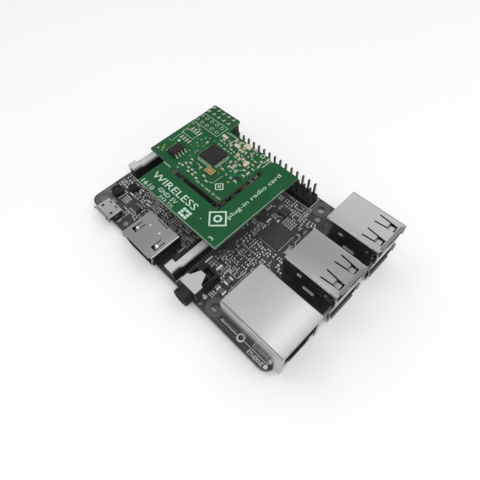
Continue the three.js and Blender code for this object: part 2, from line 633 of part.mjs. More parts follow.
const SOCKET_TAIL = 0.6;
const EMPTY_ROWS = [47.85, 45.31]; // the second, unused field of plated holes

function cardBoard() {
  const { left, right, low, high } = CARD_EDGE;
  const outline = [
    [CARD_STEP.x, low], [right, low], [right, high - 0.1], [43.8, high], [42.3, high - 0.9], [40.8, high],
    [CARD_TAB.right, high], [CARD_TAB.right, CARD_TAB.high], [left, CARD_TAB.high], [left, CARD_STEP.y],
    [CARD_STEP.x, CARD_STEP.y],
  ];
  const depth = [CARD_FOOT - 1, CARD_TOP + 1];
  const slot = [
    block([CARD_SLOT.left, CARD_SLOT.right], [CARD_SLOT.low, CARD_SLOT.low + CARD_SLOT.width], depth),
    block([CARD_SLOT.right - CARD_SLOT.width, CARD_SLOT.right], [CARD_SLOT.low, CARD_SLOT.high], depth),
  ];
  const tailHoles = headerPins(CARD.columns).map((print) => block(grown(print.x), grown(print.y), depth));
  const emptyHoles = EMPTY_ROWS.flatMap((y) =>
    headerPins(CARD.columns).filter((_, index) => index % 2 === 0).map((print) =>
      rodZ((print.x[0] + print.x[1]) / 2, y, 0.45, depth, 10)));
  const { x, y, length, width } = CARD_OVAL;
  const oval = prismZ(roundedRectangle(around(x, length), around(y, width), width / 2), depth);
  const testHole = rodZ(CARD_TEST_HOLE.x, CARD_TEST_HOLE.y, CARD_TEST_HOLE.radius, depth, 12);
  return cut(prismZ(outline, [CARD_FOOT, CARD_TOP]), slot, tailHoles, emptyHoles, oval, testHole);
}

function cardSocket() {
  const x = [HEADER.x - PITCH / 2, HEADER.x + (CARD.columns - 0.5) * PITCH];
  const y = [HEADER.y - PITCH / 2, HEADER.y + 1.5 * PITCH];
  const pins = headerPins(CARD.columns);
  const middle = (span) => (span[0] + span[1]) / 2;
  const wells = pins.map((print) => block(around(middle(print.x), 0.92), around(middle(print.y), 0.92),
    [SOCKET_FOOT - 1, HEADER.pinTop + 0.5]));
  const tails = pins.map((print) => block(around(middle(print.x), SOCKET_TAIL),
    around(middle(print.y), SOCKET_TAIL), [CARD_FOOT - 0.5, CARD_TOP + CARD.tailRise]));
  return join(cut(block(x, y, [SOCKET_FOOT, CARD_FOOT]), wells), tails);
}

// An eight-lead small-outline package whose leads step down to the card.
function cardMemoryChip() {
  const [x, y] = [15.5, 29.6];
  const body = block(around(x, 3.4), around(y, 4.9), [CARD_TOP + 0.15, CARD_TOP + 1.6]);
  const leads = sides.flatMap((side) => [-1.5, -0.5, 0.5, 1.5].map((step) => {
    const edge = 1.7;
    const run = [[edge - 0.3, 1.0], [edge + 0.45, 1.0], [edge + 0.6, 0.25], [edge + 1.1, 0.25], [edge + 1.1, 0],
      [edge + 0.4, 0], [edge + 0.25, 0.75], [edge - 0.3, 0.75]];
    const placed = run.map(([a, b]) => [x + side * a, CARD_TOP + b]);
    return prismY(facing(placed), around(y + step * 1.27, 0.45));
  }));
  return join(body, leads);
}

// ---------- assembly ----------

const board = new THREE.Group();
board.add(
  piece('main_board', mainBoard(), MAIN_MASK),
  ...flatParts(BOARD_PARTS, 0),
  ...flatParts(UNDERSIDE_PARTS, UNDERSIDE, -1),
  piece('power_inductor_1', inductor(5.0, 8.6, 3.9, 2), CHIP_EPOXY),
  piece('power_inductor_2', inductor(7.9, 13.4, 3, 1.5), CHIP_EPOXY),
  piece('gpio_header', gpioHeader(), BLACK_PLASTIC),
  piece('ethernet_shell', ethernetShell(), SHELL_METAL),
  piece('ethernet_housing', ethernetHousing(), BLACK_PLASTIC),
  piece('ethernet_contacts', ethernetContacts(), GOLD_LID),
  piece('ethernet_light_1', ethernetLens(-1), CLEAR_LENS),
  piece('ethernet_light_2', ethernetLens(1), CLEAR_LENS),
  ...USB.centres.flatMap((centre, index) => [
    piece(`usb_shell_${index + 1}`, usbShell(centre), SHELL_METAL),
    piece(`usb_back_cover_${index + 1}`, usbBackCover(centre), SHELL_METAL),
    piece(`usb_divider_${index + 1}`, usbDivider(centre), SHELL_METAL),
    piece(`usb_insert_${index + 1}`, usbInsert(centre), BLACK_PLASTIC),
  ]),
  piece('video_shell', videoShell(), SHELL_METAL),
  piece('video_tongue', videoTongue(), BLACK_PLASTIC),
  piece('power_shell', powerShell(), SHELL_METAL),
  piece('power_tongue', powerTongue(), BLACK_PLASTIC),
  piece('audio_body', audioBody(), BLACK_PLASTIC),
  piece('audio_barrel', audioBarrel(), BLACK_PLASTIC),
  piece('audio_plate', audioPlate(), SHELL_METAL),
  piece('camera_connector', ribbonBase(CAMERA_CORNER), BLACK_PLASTIC),
  piece('camera_latch', ribbonLatch(CAMERA_CORNER), WHITE_PLASTIC),
  piece('display_connector', ribbonBase(DISPLAY_CORNER), BLACK_PLASTIC),
  piece('display_latch', ribbonLatch(DISPLAY_CORNER), WHITE_PLASTIC),
  piece('memory_card_shell', readerShell(), SHELL_METAL),
  piece('memory_card_housing', readerHousing(), BLACK_PLASTIC),
);

const card = new THREE.Group();
card.add(
  piece('card_board', cardBoard(), CARD_MASK),
  piece('card_socket', cardSocket(), BLACK_PLASTIC),
  piece('card_memory_chip', cardMemoryChip(), CHIP_EPOXY),
  ...flatParts(CARD_PARTS, CARD_TOP),
);

const assembly = new THREE.Group();
assembly.add(board, card);
const extent = new THREE.Box3().setFromObject(assembly, true);
const middle = extent.getCenter(new THREE.Vector3());
assembly.position.set(-middle.x, -middle.y, -extent.min.z);

const computer = new THREE.Group();
computer.add(assembly);

export default computer;
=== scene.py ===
"""Looks for a single board computer that carries a plug-in radio card.

Places are in board millimetres: the origin is the main board's corner beside the power socket, +X runs
along the long side towards the USB sockets, +Y towards the pin header, and z = 0 is the board's upper face.
"""

import json
import math
import random

import bmesh
import bpy
from mathutils import Matrix, Vector


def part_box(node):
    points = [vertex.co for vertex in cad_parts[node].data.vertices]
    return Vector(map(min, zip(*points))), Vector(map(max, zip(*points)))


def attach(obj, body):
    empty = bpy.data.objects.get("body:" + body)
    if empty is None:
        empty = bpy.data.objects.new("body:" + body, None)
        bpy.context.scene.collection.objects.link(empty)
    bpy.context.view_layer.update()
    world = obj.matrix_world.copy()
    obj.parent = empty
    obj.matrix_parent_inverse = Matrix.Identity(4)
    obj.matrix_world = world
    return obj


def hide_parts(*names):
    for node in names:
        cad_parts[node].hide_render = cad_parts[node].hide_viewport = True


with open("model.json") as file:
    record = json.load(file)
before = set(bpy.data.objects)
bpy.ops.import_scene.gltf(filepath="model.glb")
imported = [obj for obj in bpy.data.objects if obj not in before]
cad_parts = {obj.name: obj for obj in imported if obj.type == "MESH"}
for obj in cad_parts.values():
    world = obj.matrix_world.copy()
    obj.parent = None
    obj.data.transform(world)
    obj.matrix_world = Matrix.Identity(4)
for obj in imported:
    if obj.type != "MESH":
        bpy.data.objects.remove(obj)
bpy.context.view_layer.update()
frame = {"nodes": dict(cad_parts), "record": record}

# ---------- places taken from the frame ----------

MM = 0.001
CORNER = Vector((*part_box("main_board")[0].xy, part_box("processor")[0].z))


def in_board(point):
    """A row-frame point as board millimetres."""
    return (point - CORNER) / MM


def board_box(node):
    low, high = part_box(node)
    return in_board(low), in_board(high)


BOXES = {name: board_box(name) for name in frame["nodes"]}


def middle_of(node):
    low, high = BOXES[node]
    return (low + high) / 2


COMPUTER, CARD = "computer", "plug_in_card"
UNDER, CARD_TOP = BOXES["memory_chip"][1].z, BOXES["card_board"][1].z
FOOT, PIN_TOP = [corner.z for corner in BOXES["gpio_header"]]
PITCH, PIN_SIDE = 2.54, 0.64
FIRST_PIN = (8.37, 51.23)
PIN_COLUMNS, CARD_COLUMNS = 20, 5
USB_MIDDLES = [round(middle_of(insert).y, 2) for insert in ("usb_insert_1", "usb_insert_2")]
USB_CONTACTS = (-3.5, -1, 1, 3.5)
JACK_MIDDLE = round(middle_of("ethernet_shell").y, 2)
VIDEO_MIDDLE, POWER_MIDDLE = [round(middle_of(shell).x, 2) for shell in ("video_shell", "power_shell")]


def pin_places(columns):
    """Middles of the pins in the header's first columns, both rows."""
    return [(FIRST_PIN[0] + i * PITCH, FIRST_PIN[1] + j * PITCH) for i in range(columns) for j in (0, 1)]


# ---------- solids ----------


def rectangle(x, y, size, turn=0.0):
    """Corners of a rectangle about (x, y), turned by that many degrees."""
    c, s = math.cos(math.radians(turn)), math.sin(math.radians(turn))
    a, b = size[0] / 2, size[1] / 2
    return [(x + u * c - v * s, y + u * s + v * c) for u, v in ((-a, -b), (a, -b), (a, b), (-a, b))]


def around(node, wider=1.0, longer=1.0):
    """A rectangle round a node's footprint, larger by those amounts."""
    (low, high), middle = BOXES[node], middle_of(node)
    return rectangle(middle.x, middle.y, (high.x - low.x + wider, high.y - low.y + longer))


def polygon(x, y, radius, sides):
    angles = [2 * math.pi * i / sides for i in range(sides)]
    return [(x + radius * math.cos(a), y + radius * math.sin(a)) for a in angles]


def offset(line, distance):
    """The polyline moved sideways by distance, with mitred corners."""
    moved = []
    for i, point in enumerate(line):
        sides = []
        for a, b in ((i - 1, i), (i, i + 1)):
            if 0 <= a and b < len(line):
                run = Vector(line[b]) - Vector(line[a])
                sides.append(Vector((-run.y, run.x)).normalized())
        normal = sum(sides, Vector((0, 0))).normalized()
        moved.append(tuple(Vector(point) + normal * distance / max(0.4, normal.dot(sides[0]))))
    return moved


class Batch:
    """Collects closed solids, in board millimetres, that become one mesh piece."""

    def __init__(self):
        self.points, self.faces = [], []

    def solid(self, low, high):
        """A prism or frustum between two rings with as many points."""
        count, first = len(low), len(self.points)
        self.points += [*low, *high]
        self.faces.append([first + i for i in reversed(range(count))])
        self.faces.append([first + count + i for i in range(count)])
        for i in range(count):
            j = (i + 1) % count
            self.faces.append([first + i, first + j, first + count + j, first + count + i])

    def prism(self, outline, z, top=None):
        self.solid([(x, y, z[0]) for x, y in outline], [(x, y, z[1]) for x, y in top or outline])

    def box(self, x, y, size, z, turn=0.0, top=1.0):
        """An upright block about (x, y), whose upper face is top times its lower one."""
        upper = rectangle(x, y, (size[0] * top, size[1] * top), turn)
        self.prism(rectangle(x, y, size, turn), z, upper)

    def disc(self, x, y, radius, z, sides=16, top=1.0):
        self.prism(polygon(x, y, radius, sides), z, polygon(x, y, radius * top, sides))

    def ring(self, x, y, inner, outer, z, sides=24):
        for i in range(sides):
            a, b = 2 * math.pi * i / sides, 2 * math.pi * (i + 1) / sides
            wedge = [(x + r * math.cos(t), y + r * math.sin(t)) for r, t in
                     ((inner, a), (outer, a), (outer, b), (inner, b))]
            self.prism(wedge, z)

    def ribbon(self, line, width, z, closed=False):
        """A flat strip that follows a polyline."""
        if closed:
            line = [*line, line[0]]
        self.prism([*offset(line, -width / 2), *reversed(offset(line, width / 2))], z)

    def profile(self, x, y, outline, width, turn=0.0):
        """An upright profile of (outward, z) points that is width across and points towards turn degrees."""
        c, s = math.cos(math.radians(turn)), math.sin(math.radians(turn))
        self.solid(*[[(x + a * c - b * s, y + a * s + b * c, z) for a, z in outline]
                     for b in (-width / 2, width / 2)])

    def lathe(self, profile, place, sides=48):
        """A closed turned solid: profile is (radius, along) points, place puts (u, v, along) in space."""
        first, count = len(self.points), len(profile)
        for i in range(sides):
            c, s = math.cos(2 * math.pi * i / sides), math.sin(2 * math.pi * i / sides)
            self.points += [place(r * c, r * s, along) for r, along in profile]
        for i in range(sides):
            for j in range(count):
                a, b = first + i * count, first + (i + 1) % sides * count
                k = (j + 1) % count
                self.faces.append([a + j, a + k, b + k, b + j])

    def text(self, words, x, y, size, z, turn=0.0, span=None, weight=0.0):
        """Raised lettering from (x, y) that runs towards turn degrees, span long if that is given."""
        curve = bpy.data.curves.new("lettering", "FONT")
        curve.body, curve.size, curve.extrude = words, size, (z[1] - z[0]) / 2
        curve.offset, curve.resolution_u = weight, 2
        holder = bpy.data.objects.new("lettering", curve)
        bpy.context.scene.collection.objects.link(holder)
        graph = bpy.context.evaluated_depsgraph_get()
        mesh = bpy.data.meshes.new_from_object(holder.evaluated_get(graph))
        c, s = math.cos(math.radians(turn)), math.sin(math.radians(turn))
        middle, first = (z[0] + z[1]) / 2, len(self.points)
        start, end = [pick(vertex.co.x for vertex in mesh.vertices) for pick in (min, max)]
        stretch = span / (end - start) if span else 1.0
        for vertex in mesh.vertices:
            u, v, w = vertex.co
            u = (u - start) * stretch
            self.points.append((x + u * c - v * s, y + u * s + v * c, w + middle))
        self.faces += [[first + i for i in face.vertices] for face in mesh.polygons]
        bpy.data.objects.remove(holder)
        bpy.data.curves.remove(curve)
        bpy.data.meshes.remove(mesh)


SMOOTH_BELOW, BEVEL_ABOVE = math.radians(35), math.radians(40)


def make(name, batch, finish, body, bevel=0.0, smooth=False):
    """Turns a batch into a piece that rides on a body."""
    mesh = bpy.data.meshes.new(name)
    mesh.from_pydata([CORNER + Vector(p) * MM for p in batch.points], [], batch.faces)
    work = bmesh.new()
    work.from_mesh(mesh)
    bmesh.ops.recalc_face_normals(work, faces=work.faces)
    if smooth:
        for face in work.faces:
            face.smooth = True
        for edge in work.edges:
            edge.smooth = edge.calc_face_angle(math.pi) < SMOOTH_BELOW
    work.to_mesh(mesh)
    work.free()
    mesh.materials.append(finish)
    piece = bpy.data.objects.new(name, mesh)
    bpy.context.scene.collection.objects.link(piece)
    if bevel:
        add_bevel(piece, bevel)
    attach(piece, body)


def add_bevel(piece, width):
    modifier = piece.modifiers.new("edges", "BEVEL")
    modifier.width, modifier.segments = width * MM, 2
    modifier.limit_method, modifier.angle_limit = "ANGLE", BEVEL_ABOVE
    modifier.use_clamp_overlap = True


# ---------- finishes ----------


def srgb(red, green, blue):
    """Display colours from 0 to 255 as a linear colour."""
    def linear(value):
        value /= 255
        return value / 12.92 if value <= 0.04045 else ((value + 0.055) / 1.055) ** 2.4
    return (linear(red), linear(green), linear(blue), 1.0)


def grey(value):
    return srgb(value, value, value)


class Finish:
    """A procedural material round one Principled shader, laid out in object coordinates."""

    def __init__(self, name, metallic=0.0, **sockets):
        self.material = bpy.data.materials.new(name)
        self.material.use_nodes = True
        self.tree = self.material.node_tree
        self.shader = self.tree.nodes["Principled BSDF"]
        self.shader.inputs["Metallic"].default_value = metallic
        for socket, value in sockets.items():
            self.shader.inputs[socket.replace("_", " ")].default_value = value
        self.place = self.tree.nodes.new("ShaderNodeTexCoord").outputs["Object"]

    def node(self, kind, links=(), values=(), **settings):
        made = self.tree.nodes.new(kind)
        for key, value in settings.items():
            setattr(made, key, value)
        for key, value in dict(values).items():
            made.inputs[key].default_value = value
        for key, source in dict(links).items():
            self.tree.links.new(source, made.inputs[key])
        return made

    def stretched(self, scale):
        return self.node("ShaderNodeMapping", {"Vector": self.place}, {"Scale": scale}).outputs["Vector"]

    def noise(self, per_mm, detail=3.0, place=None):
        values = {"Scale": per_mm / MM, "Detail": detail, "Roughness": 0.55}
        return self.node("ShaderNodeTexNoise", {"Vector": place or self.place}, values).outputs["Fac"]

    def between(self, factor, low, high):
        """Maps a 0-1 factor onto low to high."""
        values = {"To Min": low, "To Max": high}
        return self.node("ShaderNodeMapRange", {"Value": factor}, values).outputs["Result"]

    def ramp(self, factor, stops):
        made = self.node("ShaderNodeValToRGB", {"Fac": factor})
        elements = made.color_ramp.elements
        while len(elements) < len(stops):
            elements.new(0.5)
        for element, (position, colour) in zip(elements, stops):
            element.position, element.color = position, colour
        return made.outputs["Color"]

    def feed(self, made, sources):
        """Gives a node's inputs, by their numbers, a link or a value each."""
        for index, source in sources:
            if isinstance(source, bpy.types.NodeSocket):
                self.tree.links.new(source, made.inputs[index])
            else:
                made.inputs[index].default_value = source
        return made.outputs

    def mix(self, factor, first, second):
        made = self.node("ShaderNodeMix", data_type="RGBA")
        return self.feed(made, ((0, factor), (6, first), (7, second)))[2]

    def math(self, operation, first, second):
        return self.feed(self.node("ShaderNodeMath", operation=operation), enumerate((first, second)))[0]

    def part(self, vector, axis):
        return self.node("ShaderNodeSeparateXYZ", {"Vector": vector}).outputs[axis]

    def facing(self, axis):
        """How far the surface faces towards an axis."""
        return self.part(self.node("ShaderNodeNewGeometry").outputs["Normal"], axis)

    def paint(self, colour, rough, height=None, depth=0.0):
        """Joins the results to the shader. Height is a 0-1 relief, depth its size in millimetres."""
        self.tree.links.new(colour, self.shader.inputs["Base Color"])
        self.tree.links.new(rough, self.shader.inputs["Roughness"])
        if height is not None:
            values = {"Distance": depth * MM, "Strength": 1.0}
            bump = self.node("ShaderNodeBump", {"Height": height}, values)
            self.tree.links.new(bump.outputs["Normal"], self.shader.inputs["Normal"])
        return self.material


def moulded(name, dark, light, rough=(0.42, 0.6), grain=9.0, depth=0.006, shine=0.5, **sockets):
    """Moulded plastic, epoxy or ceramic: a slightly uneven colour over a fine grain."""
    finish = Finish(name, Specular_IOR_Level=shine, **sockets)
    broad, fine = finish.noise(0.5), finish.noise(grain, 2.0)
    blend = finish.mix(0.4, finish.between(broad, 0.0, 1.0), finish.between(fine, 0.0, 1.0))
    colour = finish.ramp(blend, [(0.3, dark), (0.7, light)])
    return finish.paint(colour, finish.between(fine, *rough), fine, depth)


def plated(name, dark, light, rough=(0.22, 0.36), streak=(1.0, 14.0, 14.0), depth=0.0012, metallic=1.0,
           front_shade=None):
    """Plated metal: faint streaks, soft stains and a fine tooth. Faces towards +X can take a darker colour,
    a painted shade on the front faces.
    """
    finish = Finish(name, metallic=metallic)
    stain = finish.noise(0.12, 3.0)
    streaks = finish.noise(1.2, 3.0, place=finish.stretched(streak))
    tooth = finish.noise(22.0, 2.0)
    blend = finish.mix(0.5, stain, streaks)
    colour = finish.ramp(blend, [(0.3, dark), (0.72, light)])
    # painted shade: faces towards +X take a darker colour
    if front_shade:
        colour = finish.mix(finish.math("GREATER_THAN", finish.facing("X"), 0.6), colour, front_shade)
    return finish.paint(colour, finish.between(blend, *rough), finish.mix(0.4, streaks, tooth), depth)


def solder_mask(name, dark, light, bare, edge, pad=None, shine=0.3):
    """Lacquer over woven glass: a faint weave, bare laminate on the cut edges, pad on raised rings."""
    finish = Finish(name, Specular_IOR_Level=shine)
    broad, fine = finish.noise(0.16, 5.0), finish.noise(5.0, 2.0)
    colour = finish.ramp(finish.mix(0.35, broad, fine), [(0.32, dark), (0.68, light)])
    threads = {"Scale": 900.0, "Distortion": 1.5}
    warp, weft = [finish.node("ShaderNodeTexWave", {"Vector": finish.place}, threads,
                              bands_direction=axis).outputs["Fac"] for axis in "XY"]
    if pad:
        raised = finish.math("GREATER_THAN", finish.part(finish.place, "Z"), CORNER.z + 0.02 * MM)
        colour = finish.mix(raised, colour, pad)
    side = finish.math("LESS_THAN", finish.math("ABSOLUTE", finish.facing("Z"), 0.0), 0.5)
    fibres = finish.noise(6.0, 3.0, place=finish.stretched((1.0, 1.0, 5.0)))
    colour = finish.mix(side, colour, finish.ramp(fibres, [(0.3, bare), (0.7, edge)]))
    return finish.paint(colour, finish.between(broad, 0.3, 0.42), finish.math("MAXIMUM", warp, weft), 0.0015)


MAIN_MASK = solder_mask("main_mask", grey(50), grey(64), grey(84), grey(110), pad=grey(84))
MAIN_TRACE = solder_mask("main_trace_mask", grey(74), grey(88), grey(80), grey(92))
# lighter grey for the patch at the board's corner: a painted reflection on the coat
MAIN_CORNER_REFLECTION = solder_mask("main_corner_reflection_mask", grey(94), grey(112), grey(94), grey(112))
CARD_MASK = solder_mask("card_mask", srgb(16, 74, 40), srgb(24, 86, 48), srgb(66, 92, 68), srgb(96, 120, 96),
                        shine=0.18)
TRACE_GREENS = srgb(32, 98, 58), srgb(40, 108, 66)
CARD_TRACE = solder_mask("card_trace_mask", *TRACE_GREENS, *TRACE_GREENS, shine=0.18)
# The shells' faces towards +X take grey(128), a painted shade on the front faces.
SHEET = plated("plated_sheet", grey(169), grey(177), rough=(0.14, 0.18), depth=0.00003, metallic=0.97,
               front_shade=grey(128))
EVEN = {"streak": (4.0, 4.0, 4.0), "metallic": 0.6}
SOLDER = plated("solder", grey(208), grey(236), rough=(0.22, 0.4), **EVEN)
DULL = plated("dull_solder", grey(124), grey(144), rough=(0.3, 0.45), **EVEN)
CARD_SOLDER = plated("card_solder", srgb(168, 176, 156), srgb(208, 216, 196), rough=(0.28, 0.42), **EVEN)
PIN_METAL = plated("pin_metal", grey(104), grey(130), rough=(0.25, 0.4))
GOLD = plated("gold_plate", srgb(186, 166, 112), srgb(208, 190, 138), rough=(0.22, 0.34))
BLACK = moulded("black_plastic", grey(26), grey(38), shine=0.22)
WHITE = moulded("white_plastic", grey(186), grey(200), rough=(0.4, 0.55), grain=6.0)
EPOXY = moulded("chip_epoxy", grey(50), grey(61), rough=(0.5, 0.66), grain=16.0, depth=0.01, shine=0.35)
DARK_EPOXY = moulded("dark_epoxy", grey(26), grey(36), rough=(0.5, 0.66), grain=16.0, depth=0.01, shine=0.3)
CERAMIC_GREY = moulded("ceramic_grey", grey(84), grey(104), rough=(0.4, 0.5), grain=14.0)
CERAMIC_CREAM = moulded("ceramic_cream", srgb(176, 168, 144), srgb(206, 200, 176), rough=(0.4, 0.5),
                        grain=14.0)
LENS = moulded("clear_lens", grey(196), grey(216), rough=(0.12, 0.2), grain=3.0, Transmission_Weight=0.35)
INK = moulded("silk_ink", srgb(176, 204, 184), srgb(202, 222, 206), rough=(0.5, 0.62), grain=8.0, shine=0.2)
INK_GREY = moulded("silk_ink_grey", grey(196), grey(222), rough=(0.5, 0.62), grain=8.0, shine=0.2)
COPPER = plated("bare_copper", srgb(120, 72, 48), srgb(150, 96, 66), rough=(0.3, 0.45))

FINISHES = {
    "main_mask": MAIN_MASK, "card_mask": CARD_MASK, "shell_metal": SHEET, "black_plastic": BLACK,
    "white_plastic": WHITE, "chip_epoxy": EPOXY, "ceramic": CERAMIC_CREAM, "gold_lid": GOLD,
    "clear_lens": LENS,
}
OWN_FINISH = {
    "output_capacitor_1": CERAMIC_GREY, "output_capacitor_2": CERAMIC_GREY, "ethernet_crystal": SHEET,
    "power_inductor_1": DARK_EPOXY, "power_inductor_2": DARK_EPOXY, "card_memory_chip": DARK_EPOXY,
    "card_radio_chip": DARK_EPOXY,
}
BEVELS = {"main_mask": 0.0, "card_mask": 0.0, "shell_metal": 0.03, "gold_lid": 0.12}

slot_of = {node: entry["slot"] for entry in frame["record"]["materials"] for node in entry.get("nodes", [])}
for name, node in frame["nodes"].items():
    slot = slot_of.get(name) or node.material_slots[0].material.name.split(".")[0]
    node.material_slots[0].link = "OBJECT"
    node.material_slots[0].material = OWN_FINISH.get(name) or FINISHES[slot]
    weld = node.modifiers.new("weld", "WELD")
    weld.merge_threshold = 1e-6
    width = BEVELS.get(slot, 0.07)
    if width:
        add_bevel(node, width)

# ---------- parts soldered flat on a face ----------

draw = random.Random(11)
BODY_NODES = frame["record"]["behaviour"]["bodies"]


def footprints(body, low, high):
    """Footprints of a body's nodes that stand between two heights."""
    boxes = [BOXES[name] for name in BODY_NODES[body] if "board" not in name]
    return [(a.x, a.y, b.x, b.y) for a, b in boxes if a.z < high and b.z > low]


TAKEN = {
    "top": (footprints(COMPUTER, 0.0, 0.5) + footprints("camera_clip", 0, 9)
            + footprints("display_clip", 0, 9)),
    "under": footprints(COMPUTER, UNDER - 1, UNDER),
    "card": footprints(CARD, CARD_TOP, CARD_TOP + 2),
}
HOLES = [(3.5 + 58 * i, 3.5 + 49 * j) for i in (0, 1) for j in (0, 1)]
HOLE_RING = 3.2
TAKEN["top"] += [(x - HOLE_RING, y - HOLE_RING, x + HOLE_RING, y + HOLE_RING) for x, y in HOLES]
LEVEL = {"top": (0.0, 1), "under": (UNDER, -1), "card": (CARD_TOP, 1)}
OWNER = {"top": COMPUTER, "under": COMPUTER, "card": CARD}


def is_free(face, x, y, half, gap=0.1):
    return not any(x + half[0] + gap > a and x - half[0] - gap < c and y + half[1] + gap > b
                   and y - half[1] - gap < d for a, b, c, d in TAKEN[face])


def claim(face, x, y, half):
    TAKEN[face].append((x - half[0], y - half[1], x + half[0], y + half[1]))


KINDS = ("ceramic", "film", "ends", "joints")
SMALL = {face: {kind: Batch() for kind in KINDS} for face in LEVEL}


def passive(face, x, y, turn, length, kind="ceramic"):
    """A chip capacitor or resistor with its plated ends and solder fillets, unless the place is taken."""
    width, height = length * 0.52, length * (0.5 if kind == "ceramic" else 0.36)
    half = (length / 2 + 0.2, width / 2) if turn % 180 == 0 else (width / 2, length / 2 + 0.2)
    if not is_free(face, x, y, half):
        return
    claim(face, x, y, half)
    base, up = LEVEL[face]
    batches = SMALL[face]
    c, s = math.cos(math.radians(turn)), math.sin(math.radians(turn))
    batches[kind].box(x, y, (length * 0.6, width * 0.96), (base, base + up * height * 0.96), turn)
    for side in (-1, 1):
        a, b = side * length * 0.4, side * (length / 2 + 0.05)
        batches["ends"].box(x + a * c, y + a * s, (length * 0.22, width), (base, base + up * height), turn)
        batches["joints"].box(x + b * c, y + b * s, (0.34, width * 1.15), (base, base + up * height * 0.55),
                              turn, 0.45)


def row(x, y, count, pitch, along=0, turn=90):
    """Capacitors side by side on the main board; along is the direction of the row."""
    c, s = math.cos(math.radians(along)), math.sin(math.radians(along))
    for i in range(count):
        passive("top", x + i * pitch * c, y + i * pitch * s, turn, 1.0)


def fill(face, zone, tries):
    """Scatters short rows of passives over a zone (low x, low y, high x, high y), clear of what is there."""
    for _ in range(tries):
        x, y = draw.uniform(zone[0], zone[2]), draw.uniform(zone[1], zone[3])
        x, y = round(x / 0.25) * 0.25, round(y / 0.25) * 0.25
        along, length = draw.choice((0, 90)), draw.choice((0.8, 1.0, 1.0, 1.25))
        kind = draw.choice(("ceramic", "ceramic", "ceramic" if face == "card" else "film"))
        for i in range(draw.randint(1, 5)):
            step = i * (length * 0.52 + 0.3)
            px, py = (x + step, y) if along == 0 else (x, y + step)
            if zone[0] < px < zone[2] and zone[1] < py < zone[3]:
                passive(face, px, py, 90 - along, length, kind)


def package(batch, leads, x, y, size, height, count, pitch, turn=0):
    """A small moulded package with gull-wing leads on two sides."""
    c, s = math.cos(math.radians(turn)), math.sin(math.radians(turn))
    waist = (size[0] * 1.03, size[1] * 1.03)
    batch.box(x, y, waist, (0.08, height / 2), turn)
    batch.box(x, y, waist, (height / 2, height), turn, 0.93)
    run = [(-0.2, 0.5 * height), (0.18, 0.5 * height), (0.3, 0.1), (0.55, 0.1), (0.55, 0.0), (0.2, 0.0),
           (0.08, 0.36 * height), (-0.2, 0.36 * height)]
    for side in (-1, 1):
        for i in range(count):
            a, b = (i - (count - 1) / 2) * pitch, side * size[1] / 2
            leads.profile(x + a * c - b * s, y + a * s + b * c, run, pitch * 0.42, turn + 90 * side)


def pads(batch, x, y, count, pitch, size, z):
    """A row of flat pads along X that starts at (x, y)."""
    for i in range(count):
        batch.box(x + i * pitch, y, size, z)


def bus(batch, line, count, pitch, width, z):
    """Parallel tracks along a polyline, with a via at each far end."""
    for i in range(count):
        track = offset(line, (i - (count - 1) / 2) * pitch) if count > 1 else line
        batch.ribbon(track, width, z)
        batch.disc(*track[-1], 0.26, (z[0], z[1] + 0.01), 10)


# ---------- main board: tracks, pads and printing ----------

tracks, corner_reflection, tin, dull, ink, chips, legs = [Batch() for _ in range(7)]
FLAT, PAD, PRINT = (-0.01, 0.015), (-0.01, 0.03), (-0.01, 0.035)

for line, count, pitch, width in [
    ([(62.6, 36.2), (64.3, 37.9), (64.3, 40.4), (66.8, 42.9), (66.8, 46.6), (70, 46.6)], 2, 0.45, 0.2),
    ([(62.6, 31.2), (66.4, 29.6), (70, 29.6)], 3, 0.45, 0.2),
    ([(60.6, 29), (60.6, 25.6), (63.6, 22.6), (63.6, 19), (66, 16.6)], 4, 0.42, 0.18),
    ([(55, 38.2), (55, 40.4), (51.4, 44), (51.4, 49)], 4, 0.45, 0.18),
    ([(53.4, 32), (49, 32), (45.5, 35.5), (33, 35.5)], 6, 0.4, 0.15),
    ([(64.2, 50.6), (67.6, 50.6), (69.6, 48.6)], 3, 0.5, 0.22),
    ([(65, 52.6), (83.5, 52.6), (83.5, 38)], 1, 0.4, 0.5),
    ([(63.5, 1.1), (76, 1.1)], 1, 0.4, 0.35),
    ([(30.4, 25), (30.4, 18), (28.6, 16.2), (28.6, 10.3)], 8, 0.5, 0.18),
    ([(33, 30), (38, 25), (43, 25)], 8, 0.45, 0.16),
    ([(18, 31), (12, 31), (10, 29), (7.6, 29)], 8, 0.45, 0.16),
    ([(20, 26), (20, 20), (16.5, 16.5), (16.5, 11.4)], 5, 0.5, 0.2),
    ([(6.6, 4.6), (6.6, 6.4)], 1, 0.4, 1.3),
    ([(13.4, 4.4), (15, 6), (15, 7.4)], 3, 0.5, 0.25),
    ([(10.4, 4.6), (10.4, 5.6), (12, 7.2)], 4, 0.35, 0.14),
    ([(22.6, 5.2), (22.6, 8.6), (20.8, 10.4), (20.8, 12)], 3, 0.45, 0.2),
    ([(49.4, 12), (49.4, 17), (52, 19.6)], 5, 0.5, 0.2),
    ([(57.4, 16.6), (63, 16.6), (64.8, 14.8)], 4, 0.45, 0.18),
    ([(3.6, 47), (3.6, 44), (6.6, 41), (6.6, 38)], 4, 0.5, 0.2),
]:
    bus(tracks, line, count, pitch, width, FLAT)
for column in range(PIN_COLUMNS):
    x, shift = FIRST_PIN[0] + column * PITCH, draw.choice((-1.27, 0.6, 1.27))
    drop = draw.uniform(1.2, 4.5)
    line = [(x, 50.6), (x, 49), (x + shift, 49 - abs(shift)), (x + shift, 47.6 - drop)]
    bus(tracks, line, 1, 0, 0.2, FLAT)

